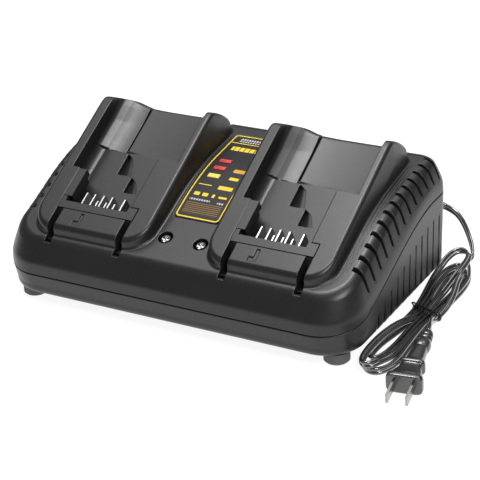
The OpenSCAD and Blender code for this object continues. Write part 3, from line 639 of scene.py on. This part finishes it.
def planOutline(x, y):
    return outline(x, y, housing["width"] / 2, frontY, rearY, housing["frontCorner"], housing["rearCorner"])


def skin(x, y, z):
    # The upper housing's outer surface without its cradles.
    distance, facing = planOutline(x, y)
    front = y < 0
    endLean = np.where(front, housing["frontLean"], housing["rearLean"])
    lean = housing["sideLean"] + (endLean - housing["sideLean"]) * facing
    sideways = np.sqrt(np.maximum(1 - facing * facing, 0))
    softness = 1 + housing["sideSoft"] * sideways + np.where(front, 0, housing["rearSoft"]) * facing
    inward = housing["footInset"]
    foot = seam.height(y) + housing["band"] + housing["foot"]
    rise = np.maximum(top.height(y) - housing["edgeDown"] * softness - foot, 4)
    slope = (lean - housing["edgeIn"] * softness - inward) / rise
    drafted = housing["bandDraft"] * (z - seam.height(y))
    inset = softMax(drafted, inward + (z - foot) * slope, housing["footSoft"])
    share = (z - foot) / rise
    bulge = housing["bulge"] * np.clip(share, 0, 1) * np.clip(1.4 - share, 0, 1)
    wall = (distance + inset - bulge) / np.sqrt(1 + slope * slope * (z > foot))
    return roundMax(wall, top.above(y, z), housing["edgeLeast"] + housing["edgeSoft"] * softness)


def cradle(u, y, z):
    crownEnd = deckY + bay["cradleReach"] + bay["crownRun"] - 1
    corners = bay["cradleCorner"], bay["cradleRearCorner"]
    distance, facing = outline(u, y, bay["cradleWidth"] / 2, deckY, crownEnd, *corners)
    front = bay["flare"] * (1 - facing) - bay["flareFront"] * facing
    flare = np.where(y < 0, front, bay["flare"])
    drop = crown.height(y) - z
    t = np.clip((drop - bay["flareFrom"]) / bay["flareRun"], 0, 1)
    wall = distance - flare * (bay["flareLeast"] + (1 - bay["flareLeast"]) * t) + bay["cradleInset"]
    block = roundMax(wall, crown.above(y, z), bay["cradleEdge"])
    low = np.minimum(deckHeight(y) - bay["cradleRoot"], top.height(y) - bay["cradleCover"])
    return np.maximum(block, low - z)


def bayFloor(u, s, n, rim):
    # A crowned panel behind the step, and a curved trough that falls away on its left.
    behind = np.clip((s - floorStep) / bay["stepSoft"] + 0.5, 0, 1)
    dropped = bay["panelDrop"] * behind * np.clip((u - bay["panelEdge"]) / bay["panelSoft"], 0, 1)
    fall = bay["troughDrop"] + bay["troughFall"] * np.clip(rim / bay["troughFallRun"], 0, 1)
    deeper = dropped + behind * (u < bay["troughEdge"]) * fall
    out = np.maximum(bay["troughEdge"] - u, 0)
    rise = bay["troughSlope"] * out + out * out / bay["troughCurve"]
    rise = rise + bay["panelCrown"] * (u > bay["troughEdge"]) * (u - bay["panelMiddle"]) ** 2
    return behind * rise - bay["depth"] - deeper - n


def bayCut(u, s, n, rim):
    # The sunken bay behind the terminals: hollow left corner, square right corner.
    floor = bayFloor(u, s, n, rim)
    hollow = np.where(s > floorStep, bay["hollowRear"], bay["hollow"])
    left = roundMax(bayLeft - u, floor, hollow)
    full = inAll(roundMax(left, u - bayRight, bay["rightCorner"]), rightLipEnd - s)
    part = inAll(roundMax(left, u - bay["railGap"] / 2, bay["innerEdge"]), wideFrom - s)
    gap = np.abs(u) - bay["railGap"] / 2
    quarter = bay["undercut"] / 4
    keySeat = np.abs(u + quarter) - quarter
    under = inAll(np.abs(u) - bay["undercut"] / 2, n + bay["lip"], s - rightLipEnd - bay["overlap"])
    narrow = inAll(inAny(gap, keySeat), s - wideFrom - bay["overlap"])
    narrow = inAll(inAny(narrow, under), floor, bay["slotRun"] + bay["holderRun"] - s)
    halfRun = bay["holderRun"] / 2
    run = np.abs(s - bay["slotRun"] - halfRun) - (halfRun + bay["holderGap"])
    holder = inAll(np.abs(u) - bay["slotOut"] - bay["holderSide"], floor, run)
    return inAny(full, part, narrow, holder)


def rearLip(u, y, z):
    # Falls away backwards, and rises to the left bump.
    turn = math.radians(bay["lipTurn"])
    lipZ = deckHeight(lipY) - bay["depth"] / cosSlope - bay["lipLow"]
    b = (y - lipY) * math.sin(turn) + (z - lipZ) * math.cos(turn)
    edge = np.interp(u, *zip(*bay["lipEdge"]))
    rim = edge - b - np.interp(u, *zip(*bay["lipRim"]))
    return inAll(edge - b, u - bayRight + bay["lipRight"], bay["lipEdge"][0][0] - u), rim


def pocket(u, s, n, x, start, end, startWidth, endWidth):
    # A scoop in the floor that is deepest along its left edge.
    s0, s1 = floorStep - start, floorStep - end
    width = startWidth + (endWidth - startWidth) * np.clip((s - s0) / (s1 - s0), 0, 1)
    t = np.clip((u - x) / width, 0, 1)
    scoop = -bay["depth"] - bay["pocketDepth"] * (1 - t) ** 2 - n
    return inAll(scoop * 0.9, x - u, u - x - width, s0 - s, s - s1 + bay["pocketSlant"] * (u - x))


def bayDetails(u, s, n, y, z):
    # Groove, pockets, guide slots and the mark in the tongue.
    groove = np.abs(u - bay["grooveMiddle"]) - bay["grooveHalf"]
    groove = inAll(groove, -bay["depth"] - bay["grooveDepth"] - n, floorStep + bay["overlap"] - s)
    halfSlot = bay["slotWidth"] / 2
    slot = np.abs(np.abs(u) - bay["slotOut"] + halfSlot) - halfSlot
    slot = inAll(slot, housing["crest"] - bay["slotDepth"] - z, y - slotEndY, crestY - bay["slotAhead"] - y)
    pockets = [pocket(u, s, n, *row) for row in bay["pockets"]]
    strokes = [inAll(np.abs(u - across) - halfWidth, np.abs(s - along) - halfRun, -bay["markDepth"] - n)
               for (across, along), (halfWidth, halfRun) in bay["tongueMark"]]
    return inAny(groove, slot, *pockets, *strokes)


def slits(at, first, pitch, count, half):
    # Distance across to the nearest of a row of slits.
    k = np.clip(np.round((at - first) / pitch), 0, count - 1)
    return np.abs(at - first - k * pitch) - half


def sideVents(x, y, z):
    # Wide at the shoulder and narrow below.
    low = seam.height(y) + housing["band"] + vents["low"]
    t = np.clip((z - low) / np.maximum(top.height(y) - 1 - low, 1), 0, 1)
    half = vents["foot"] + (vents["shoulder"] - vents["foot"]) * t
    slit = slits(y - frontY, vents["start"], vents["pitch"], vents["count"], half)
    inner = housing["width"] / 2 - housing["sideLean"] - vents["inward"]
    return inAll(slit, low - z, inner - np.abs(x))


def rearVents(x, y, z):
    half = vents["rearWidth"] / 2
    slit = slits(np.abs(x), vents["rearFirst"], vents["rearPitch"], vents["rearCount"], half)
    return inAll(slit, housing["seamRear"] + vents["rearLow"] - z, rearCrestY - vents["rearInward"] - y)


def labelAndScrews(x, y, z):
    # The label's seat and the two screw recesses.
    span = frontY + panel["labelFront"], frontY + panel["labelRear"]
    edge, _ = outline(x, y, panel["labelHalf"], *span, panel["labelCorner"], panel["labelCorner"])
    seat = inAll(edge - panel["labelGap"], -panel["labelSeat"] - top.above(y, z))
    tilt = math.radians(panel["tilt"])
    screwY = frontY + panel["screwY"]
    screwZ = float(topHeight(screwY))
    out = (z - screwZ) * math.cos(tilt) - (y - screwY) * math.sin(tilt)
    along = (y - screwY) * math.cos(tilt) + (z - screwZ) * math.sin(tilt)
    well = np.hypot(np.abs(x) - panel["screwX"], along) - panel["recess"] / 2
    return inAny(seat, inAll(well, -panel["recessDepth"] - out))


def upperField(x, y, z):
    side = np.where(x < 0, -1, 1)
    u = x - side * bay["pitch"] / 2
    shell, block = skin(x, y, z), cradle(u, y, z)
    hollow = -(shell + housing["wall"])
    body = inAny(inAll(roundMin(shell, block, edges["cradleFoot"]), hollow), block)
    # s runs up the deck from its front edge, and n stands out of it
    s = (y - deckY) * cosSlope + (z - bay["deckHeight"]) * sinSlope
    n = (z - bay["deckHeight"]) * cosSlope - (y - deckY) * sinSlope
    lip, rim = rearLip(u, y, z)
    body = roundMax(body, roundMax(-bayCut(u, s, n, rim), -lip, edges["rearLip"]), edges["bay"])
    body = roundMax(body, -bayDetails(u, s, n, y, z), edges["detail"])
    body = roundMax(body, -sideVents(x, y, z), edges["sideVent"])
    body = roundMax(body, -rearVents(x, y, z), edges["rearVent"])
    body = roundMax(body, -labelAndScrews(x, y, z), edges["detail"])
    return roundMax(body, -seam.above(y, z) + edges["seamGap"], edges["seam"])


def lowerField(x, y, z):
    distance, _ = planOutline(x, y)
    seamZ = seam.height(y)
    t = np.clip((seamZ - z) / np.maximum(seamZ - housing["base"] - housing["baseRise"], 1), 0, 1.6)
    wall = distance + housing["baseDraft"] * t
    body = roundMax(wall, housing["base"] - z, housing["keel"])
    body = inAll(body, -(body + housing["wall"]))
    half = vents["flankWide"] - (z - housing["base"]) * vents["flankTaper"]
    half = np.clip(half, vents["flankNarrow"], vents["flankWide"])
    slit = slits(y - frontY, vents["flankStart"], vents["flankPitch"], vents["flankCount"], half)
    inner = housing["width"] / 2 - vents["flankInward"]
    slit = inAll(slit, z - seamZ + vents["flankTop"], inner - np.abs(x))
    body = roundMax(body, -slit, edges["flankVent"])
    return roundMax(body, seam.above(y, z) + edges["seamGap"], edges["seam"])


meshing = {
    "step": 0.6, "quickStep": 0.9, "coarser": 1.3, "margin": 3, "upper": (22, 117), "lower": (6, 70),
    "block": 8, "chunk": 120000, "passes": 3,
}


def inChunks(field, points):
    size = meshing["chunk"]
    return np.concatenate([field(*points[i:i + size].T) for i in range(0, len(points), size)])


def gradient(field, points, e):
    parts = []
    for axis in range(3):
        shift = np.zeros(3)
        shift[axis] = e
        parts.append((inChunks(field, points + shift) - inChunks(field, points - shift)) / (2 * e))
    return np.stack(parts, 1)


def cellsOf(counts):
    # Every whole-number place in a box of cells.
    return np.stack(np.meshgrid(*[np.arange(c) for c in counts], indexing="ij"), -1).reshape(-1, 3)


def shapeOf(name, field, span, step):
    # Meshes a distance field, then moves each point exactly onto its surface.
    block = meshing["block"]
    halfX, halfY = housing["width"] / 2 + meshing["margin"], rearY + meshing["margin"]
    low = np.array((-halfX, -halfY, span[0]), np.float32)
    high = np.array((halfX, halfY, span[1]))
    counts = np.ceil((high - low) / step / block).astype(int)
    cells = cellsOf(counts)
    centres = low + (cells * block + (block - 1) / 2) * step
    coarse = inChunks(field, centres.astype(np.float32))
    # Only blocks near the surface are worked out point by point.
    near = np.abs(coarse) < block * step * 1.3 + 1.5
    values = coarse.reshape(counts)
    for axis in range(3):
        values = np.repeat(values, block, axis)
    at = (cells[near][:, None] * block + cellsOf([block] * 3)).reshape(-1, 3)
    values[at[:, 0], at[:, 1], at[:, 2]] = inChunks(field, (low + at * step).astype(np.float32))
    grid = openvdb.FloatGrid()
    grid.copyFromArray(np.ascontiguousarray(values, np.float32))
    points, triangles, quads = grid.convertToPolygons(isovalue=0.0, adaptivity=0.0)
    points = points * step + low
    for _ in range(meshing["passes"]):
        d = inChunks(field, points)
        g = gradient(field, points, 0.1)
        move = g * (d / np.maximum((g * g).sum(1), 0.2))[:, None]
        points = points - np.clip(move, -0.4 * step, 0.4 * step)
    normals = gradient(field, points, 0.12)
    normals /= np.maximum(np.linalg.norm(normals, axis=1), 1e-6)[:, None]
    faces = [*triangles.tolist(), *quads.tolist()]
    piece = newMesh(name, (points * mm).tolist(), faces)
    piece.data.normals_split_custom_set_from_vertices(normals.tolist())
    print(name, len(points), "points", len(faces), "faces")
    return piece


step = meshing["step"]
upper = shapeOf("upperShell", upperField, meshing["upper"], step)
lower = shapeOf("lowerShell", lowerField, meshing["lower"], step * meshing["coarser"])
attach(upper, "root")
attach(lower, "root")
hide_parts("upper_housing")
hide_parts("lower_housing")


def scaled(shade, factor, more=0.0):
    return tuple(factor * c + more for c in shade)


moulding = {
    "shade": (0.0135, 0.013, 0.0136), "dark": 0.86, "light": 1.16, "roughness": 0.34, "grain": 0.07,
    # how much paler the fine lines are as a painted highlight, where each lies across, their run and their
    # lower end
    "pale": 8, "lines": [(120.6, 121.2), (122.4, 123.0)], "lineRun": (-50.0, 53.0), "lineFoot": 47.0,
}


def plastic(name, lines=None):
    # Fine-grained moulded plastic with slight clouding and soft handling marks.
    paint = Paint(name)
    shade = moulding["shade"]
    cloud = paint.noise(24.0, 4.0, 0.6)
    marks = paint.noise(160.0, 5.0, 0.65, stretch=(1.0, 3.5, 1.0))
    fine = paint.noise(5200.0, 2.0)
    colour = paint.mix(cloud, scaled(shade, moulding["dark"]), scaled(shade, moulding["light"]))
    gloss = moulding["roughness"] + 0.1 * (cloud - 0.5) + 0.12 * (marks - 0.5)
    normal = paint.bump(fine, moulding["grain"], 0.00012)
    if lines:
        height = lines(paint)
        # painted highlight: the fine lines are painted paler than the plastic
        colour = paint.mix(height, colour, scaled(shade, moulding["pale"]))
        normal = paint.bump(height, 0.9, 0.0004, normal)
    return paint.finish(colour, gloss, normal)


def shoulderLines(paint):
    # Two fine parallel ridge lines beside the outer foot of each cradle, bumped and painted paler as a
    # painted highlight.
    x, y, z = paint.axes()
    side = x.abs()
    both = sum(side.between(start, end, 0.25) for start, end in moulding["lines"])
    return both * y.between(*moulding["lineRun"], 6.0) * z.above(moulding["lineFoot"], 1.0)


def roundedBox(x, y, middle, half, radius):
    # Distance in millimetres to a rounded rectangle.
    a = ((x - middle[0]).abs() - (half[0] - radius)).most(0.0)
    b = ((y - middle[1]).abs() - (half[1] - radius)).most(0.0)
    return (a * a + b * b) ** 0.5 - radius


label = {
    "film": (0.008, 0.008, 0.009), "yellow": (0.8, 0.56, 0.03),
    "amber": (0.62, 0.33, 0.04), "pale": (0.6, 0.6, 0.56),
    "soft": 0.25, "border": 1.0, "rule": (45.6, 46.4), "ruleHalf": 15.6,
    "linesHalf": 14.0, "lines": (-30.8, -21.6), "linesStrength": 0.3,
    # middle, half size and corner of the frame and of each plain printed mark
    "frame": ((0.0, 11.0), (16.6, 44.8), 2.6),
    "title": ((1.5, 38.5), (13, 2.5), 0.6),
    "oblong": ((9.2, 12.0), (4.6, 1.9), 1.4),
    "bars": [
        ((9.4, 3.6), (3.6, 1.4), 0.5), ((8, -6.2), (5.6, 1.7), 0.5), ((-8.5, -5.6), (5.2, 0.35), 0.3),
        ((-10.4, -14.2), (2.2, 1.4), 0.5), ((-3.8, -14.2), (2.2, 1.4), 0.5), ((2.8, -14.4), (1, 1.4), 0.3),
        ((10.2, -14.6), (3.2, 0.8), 0.3),
    ],
    "strips": [
        ((1.5, 51.4), (12.5, 1.1), 0.4), ((1.5, 48.6), (12.5, 0.7), 0.3), ((-5.5, -19.2), (8, 0.7), 0.3),
        ((11, -19.6), (2.4, 0.7), 0.3),
    ],
}


def printed(x, y, middle, half, corner):
    return 1 - roundedBox(x, y, middle, half, corner).above(0.0, label["soft"])


def labelFilm():
    # A dark film with a yellow frame and plain bars, rules and strips where the print is.
    paint = Paint("labelFilm")
    x, y, _ = paint.axes()
    soft = label["soft"]
    film = paint.mix(paint.noise(30.0, 3.0), label["film"], scaled(label["film"], 1.5))
    frameLine = 1 - roundedBox(x, y, *label["frame"]).abs().above(label["border"] / 2, soft)
    rule = y.between(*label["rule"], soft) * (1 - x.abs().above(label["ruleHalf"], 0.2))
    title = printed(x, y, *label["title"]) * (x * 1.55).wave().above(-0.85, 0.3)
    yellow = frameLine + rule + title + sum(printed(x, y, *row) for row in label["bars"])
    oblong = printed(x, y, *label["oblong"])
    pale = sum(printed(x, y, *row) for row in label["strips"])
    lines = (y * 4.2).wave().above(0.1, 0.8) * y.between(*label["lines"], 0.3)
    lines = lines * (1 - x.abs().above(label["linesHalf"], 0.2))
    colour = paint.mix(yellow.clip(), film, label["yellow"])
    colour = paint.mix(oblong, colour, label["amber"])
    colour = paint.mix(pale.clip() * (0.55 + 0.45 * (x * 3.1).wave()).clip(), colour, label["pale"])
    colour = paint.mix(lines * label["linesStrength"], colour, label["amber"])
    inked = (yellow + pale + oblong).clip()
    raised = paint.noise(3000.0, 2.0) * 0.3 + inked
    gloss = 0.4 + 0.14 * paint.noise(60.0, 3.0) + 0.08 * inked
    return paint.finish(colour, gloss, paint.bump(raised, 0.25, 0.00006), Specular_IOR_Level=0.28)


lens = {
    "red": ((0.45, 0.02, 0.015), (0.68, 0.05, 0.04)), "yellow": ((0.65, 0.5, 0.05), (0.8, 0.66, 0.12)),
    "redFrom": 7.5,  # the red ones lie behind this, the yellow one in front
}


def lensPlastic():
    # Ribbed clear lenses.
    paint = Paint("lensPlastic")
    _, y, _ = paint.axes()
    depth = paint.noise(500.0, 2.0)
    red, yellow = paint.mix(depth, *lens["red"]), paint.mix(depth, *lens["yellow"])
    colour = paint.mix(1 - y.above(lens["redFrom"], 0.5), red, yellow)
    ribs = paint.bump((y * 5.0).wave(), 0.12, 0.0001)
    return paint.finish(colour, 0.2 + 0.12 * depth, ribs)


metals = {
    # colour, roughness and how the drawing lines are squeezed
    "screwSteel": ((0.72, 0.72, 0.73), 0.3, (1.0, 12.0, 1.0)),
    "bladeMetal": ((0.7, 0.7, 0.7), 0.3, (1.0, 12.0, 1.0)),
    "sinkAluminium": ((0.78, 0.79, 0.8), 0.4, (1.0, 1.0, 14.0)),
    "plugBrass": ((0.42, 0.41, 0.39), 0.2, (1.0, 12.0, 1.0)),
}


def metal(name):
    # Plated sheet or wire with fine drawing lines and dull patches.
    shade, roughness, stretch = metals[name]
    paint = Paint(name)
    drawn = paint.noise(420.0, 4.0, 0.6, stretch=stretch)
    patch = paint.noise(90.0, 3.0)
    colour = paint.mix(patch * 0.7, shade, scaled(shade, 0.72))
    gloss = roughness + 0.16 * (drawn - 0.5) + 0.1 * patch
    return paint.finish(colour, gloss, paint.bump(drawn, 0.18, 0.00005), Metallic=1.0)


rubber = {"shade": (0.075, 0.074, 0.076), "roughness": 0.62, "wornBelow": 1.2}


def footRubber():
    # Dusty rubber that is worn where it meets the ground.
    paint = Paint("footRubber")
    speck = paint.noise(1800.0, 3.0)
    dust = paint.noise(70.0, 4.0, 0.6)
    _, _, z = paint.axes()
    worn = (1 - z.above(rubber["wornBelow"], 1.2)) * dust
    colour = paint.mix((0.35 * dust + 0.5 * worn).clip(), rubber["shade"], scaled(rubber["shade"], 2.4, 0.01))
    return paint.finish(colour, rubber["roughness"] + 0.15 * dust, paint.bump(speck, 0.3, 0.00015))


vinyls = {
    # colour, roughness and strength of the clear gloss over it
    "cordVinyl": ((0.008, 0.0078, 0.0085), 0.2, 1.0),
    "reliefVinyl": ((0.009, 0.009, 0.0095), 0.25, 0.4),
    "plugVinyl": ((0.014, 0.0135, 0.014), 0.26, 0.5),
    "tieVinyl": ((0.005, 0.005, 0.005), 0.3, 0.0),
}


def vinyl(name):
    # Soft plastic with a faint ripple.
    shade, roughness, coat = vinyls[name]
    paint = Paint(name)
    ripple = paint.noise(900.0, 3.0)
    cloud = paint.noise(45.0, 4.0, 0.6)
    colour = paint.mix(cloud, shade, scaled(shade, 1.7))
    return paint.finish(colour, roughness + 0.1 * cloud, paint.bump(ripple, 0.08, 0.0001), Coat_Weight=coat,
                        Coat_IOR=1.9, Coat_Roughness=0.08, Specular_IOR_Level=0.5 + 0.4 * coat)


board = {"shadedMask": ((0.004, 0.03, 0.012), (0.006, 0.045, 0.018)), "track": (0.02, 0.08, 0.025)}


def boardLaminate():
    # Green solder mask over copper tracks; the green is darkened as painted shade for the inside of the
    # housing.
    paint = Paint("boardLaminate")
    x, y, _ = paint.axes()
    layout = {"Vector": paint.place(), "Scale": 26.0, "Mortar_Size": 0.018}
    tracks = paint.add("TexBrick", {"offset": 0.37}, output=1, **layout)
    weave = ((x * 9.0).wave() * (y * 9.0).wave()) * 0.5 + 0.5
    # painted shade: the solder mask's green is made much darker than its own colour
    shadedMask = paint.mix(paint.noise(60.0), *board["shadedMask"])
    colour = paint.mix(tracks * 0.5, shadedMask, board["track"])
    return paint.finish(colour, 0.3 + 0.15 * weave, paint.bump(tracks + 0.15 * weave, 0.3, 0.00006))


transformer = {
    "core": ((0.035, 0.034, 0.034), (0.07, 0.068, 0.066)), "tape": ((0.5, 0.33, 0.04), (0.6, 0.42, 0.07)),
    "bobbin": (0.015, 0.015, 0.015),
    "middle": 8.0, "coreHalf": 7.05, "bobbinTop": 26.9,
}


def coreFerrite():
    # Dark sintered core; the taped winding and the bobbin stand out of it to the front and back.
    paint = Paint("coreFerrite")
    _, y, z = paint.axes()
    grain = paint.noise(1500.0, 4.0, 0.7)
    core = paint.mix(grain, *transformer["core"])
    tape = paint.mix((z * 6.0).wave() * 0.5 + 0.5, *transformer["tape"])
    out = (y - transformer["middle"]).abs().above(transformer["coreHalf"], 0.1)
    colour = paint.mix(out, core, tape)
    colour = paint.mix(out * (1 - z.above(transformer["bobbinTop"], 0.2)), colour, transformer["bobbin"])
    return paint.finish(colour, 0.62 - 0.25 * out, paint.bump(grain, 0.35, 0.0001))


transistor = {"body": (0.012, 0.012, 0.012), "leg": (0.7, 0.7, 0.7), "legTop": 23.6}


def componentBlack():
    # Moulded body over legs of bare tinned metal.
    paint = Paint("componentBlack")
    _, _, z = paint.axes()
    grain = paint.noise(2600.0, 3.0)
    leg = 1 - z.above(transistor["legTop"], 0.1)
    body = paint.mix(grain, transistor["body"], scaled(transistor["body"], 1.6, 0.004))
    colour = paint.mix(leg, body, transistor["leg"])
    return paint.finish(colour, 0.5 - 0.2 * leg, paint.bump(grain, 0.25, 0.0001), Metallic=leg)


capacitor = {
    "film": ((0.012, 0.014, 0.05), (0.02, 0.024, 0.075)), "stripe": (0.4, 0.42, 0.46),
    "lid": (0.75, 0.75, 0.76), "stripeFrom": 46.0, "stripeRun": (-1.0, 4.0),
    # heights of the big one's lid and of the small ones', and the line that the small ones stand in front of
    "lidTop": 55.2, "smallLidTop": 35.3, "smallFront": -20.0,
}


def capacitorSleeve():
    # Shrink sleeve with a pale polarity stripe, and a bare aluminium top.
    paint = Paint("capacitorSleeve")
    x, y, z = paint.axes()
    small = 1 - y.above(capacitor["smallFront"], 1.0)
    lid = z.above(capacitor["lidTop"], 0.1) + small * z.above(capacitor["smallLidTop"], 0.1)
    stripe = y.above(capacitor["stripeFrom"], 0.3) * x.abs().between(*capacitor["stripeRun"], 0.4)
    film = paint.mix(paint.noise(120.0), *capacitor["film"])
    colour = paint.mix(stripe * 0.6, film, capacitor["stripe"])
    colour = paint.mix(lid, colour, capacitor["lid"])
    gloss = 0.3 + 0.1 * paint.noise(300.0)
    crinkle = paint.bump(paint.noise(700.0), 0.15, 0.0001)
    return paint.finish(colour, gloss, crinkle, Metallic=lid)


choke = {
    "wire": ((0.16, 0.05, 0.012), (0.6, 0.26, 0.08)), "base": (0.02, 0.02, 0.02),
    "middle": (52.0, 44.0), "turns": 34.0, "baseTop": 22.7,
}


def chokeWinding():
    # Enamelled wire wound round a ring, over a dark base.
    paint = Paint("chokeWinding")
    x, y, z = paint.axes()
    middleX, middleY = choke["middle"]
    turns = ((y - middleY).angle(x - middleX) * choke["turns"]).wave() * 0.5 + 0.5
    base = 1 - z.above(choke["baseTop"], 0.1)
    wire = paint.mix(turns, *choke["wire"])
    colour = paint.mix(base, wire, choke["base"])
    return paint.finish(colour, 0.28 + 0.2 * base, paint.bump(turns, 0.8, 0.0006))


fuse = {
    "tube": ((0.62, 0.61, 0.57), (0.74, 0.73, 0.69)), "cap": (0.7, 0.7, 0.7),
    "middle": 76.0, "tubeHalf": 5.6, "clipTop": 21.7,
}


def fuseCeramic():
    # White tube with plated caps at both ends and in its clips.
    paint = Paint("fuseCeramic")
    x, _, z = paint.axes()
    ends = (x - fuse["middle"]).abs().above(fuse["tubeHalf"], 0.1)
    cap = (ends + (1 - z.above(fuse["clipTop"], 0.1))).clip()
    speck = paint.noise(900.0, 3.0)
    colour = paint.mix(cap, paint.mix(speck, *fuse["tube"]), fuse["cap"])
    return paint.finish(colour, 0.55 - 0.27 * cap, paint.bump(speck, 0.15, 0.0001), Metallic=cap)


screwHead = {"black": (0.02, 0.02, 0.02), "paintedHighlight": (0.8, 0.8, 0.8), "crossHalf": 0.75, "crossReach": 2.4}


def screwBlack():
    # Blackened heads with a painted highlight: a bright cross in the middle of each head.
    paint = Paint("screwBlack")
    x, y, _ = paint.axes()
    across, along = (x.abs() - panel["screwX"]).abs(), (y - frontY - panel["screwY"]).abs()
    within = 1 - across.most(along).above(screwHead["crossReach"], 0.5)
    cross = (1 - across.least(along).above(screwHead["crossHalf"], 0.3)) * within
    worn = paint.noise(800.0, 3.0)
    # painted highlight: the cross is coloured bright on the dark head
    colour = paint.mix(cross, screwHead["black"], screwHead["paintedHighlight"])
    scuffs = paint.bump(worn, 0.15, 0.00006)
    return paint.finish(colour, 0.3 + 0.12 * worn, scuffs, Metallic=0.4 + 0.5 * cross)


def dress(material, *names, width=0):
    # Gives CAD nodes their finish, and rounds their sharp edges by a width in millimetres.
    for name in names:
        piece = nodes[name]
        piece.data.materials.clear()
        piece.data.materials.append(material)
        if width:
            bevel = piece.modifiers.new("bevel", "BEVEL")
            bevel.width = width * mm
            bevel.segments = 2
            bevel.limit_method = "ANGLE"
            bevel.angle_limit = math.radians(40)


upper.data.materials.append(plastic("housingTop", lines=shoulderLines))
lower.data.materials.append(plastic("housingBase"))
dress(plastic("keyPlastic"), "rail_key_left", "rail_key_right", width=0.4)
dress(plastic("holderPlastic"), "terminal_holder_left", "terminal_holder_right", width=0.25)
dress(labelFilm(), "label_plate", width=0.25)
dress(lensPlastic(), "status_lenses", width=0.3)
dress(metal("screwSteel"), "housing_screws", "board_screws", width=0.2)
dress(screwBlack(), "panel_screws", width=0.3)
dress(metal("bladeMetal"), "terminal_blades_left", "terminal_blades_right", width=0.15)
dress(footRubber(), "foot_front_left", "foot_front_right", "foot_rear_left", "foot_rear_right")
dress(boardLaminate(), "main_board", "lamp_board")
dress(coreFerrite(), "transformer_left", "transformer_right", width=0.3)
dress(metal("sinkAluminium"), "heat_sink_left", "heat_sink_right", width=0.2)
dress(componentBlack(), "power_transistors", width=0.2)
dress(capacitorSleeve(), "filter_capacitor", "output_capacitors", width=0.3)
dress(chokeWinding(), "mains_choke", width=0.5)
dress(fuseCeramic(), "fuse", width=0.2)
dress(lensPlastic(), "status_lamps", width=0.3)
dress(metal("plugBrass"), "plug_blades", width=0.25)
for piece, name in ((cordPiece, "cordVinyl"), (reliefPiece, "reliefVinyl"), (plugPiece, "plugVinyl"),
                    (tiePiece, "tieVinyl"), (tieEye, "tieVinyl")):
    piece.data.materials.append(vinyl(name))
print("finishes made")


studio = {
    "room": 0.17, "paper": 0.25, "paperGlow": 0.9, "paperHalf": 3,
    # place, what it faces, width, height and strength of each soft light
    "top": ((-0.25, 0.5, 1.25), (-0.25, 0.5, 0), 1.5, 1.4, 13),
    "strip": ((-0.13, 0.08, 1.2), (-0.13, 0.08, 0), 0.34, 0.5, 7),
    "corner": ((1.05, -0.7, 1.2), (0, 0, 0.05), 0.6, 0.6, 13),
}


def makeFloor():
    half = studio["paperHalf"]
    corners = [(-half, -half, 0), (half, -half, 0), (half, half, 0), (-half, half, 0)]
    floor = newMesh("floor", corners, [(0, 1, 2, 3)])
    paper = Paint("floorPaper")
    tone = studio["paper"] - 0.02 * paper.noise(8.0)
    shade = paper.add("CombineColor", Red=tone, Green=tone, Blue=tone)
    glow = {"Emission_Color": (1.0, 1.0, 1.0), "Emission_Strength": studio["paperGlow"]}
    floor.data.materials.append(paper.finish(shade, 0.85, **glow))


def makeLights():
    world = bpy.data.worlds.new("studio")
    bpy.context.scene.world = world
    world.use_nodes = True
    room = world.node_tree.nodes["Background"]
    room.inputs[0].default_value = (1, 1, 1, 1)
    room.inputs[1].default_value = studio["room"]
    for name in ("top", "strip", "corner"):
        place, target, width, height, strength = studio[name]
        light = bpy.data.lights.new(name, "AREA")
        light.shape = "RECTANGLE"
        light.size, light.size_y = width, height
        light.energy = strength
        lamp = addObject(name, light)
        lamp.location = place
        lamp.rotation_mode = "QUATERNION"
        lamp.rotation_quaternion = (Vector(place) - Vector(target)).to_track_quat("Z", "Y")
    bpy.context.scene.view_settings.view_transform = "Standard"


makeFloor()
makeLights()
print("floor and lights made")
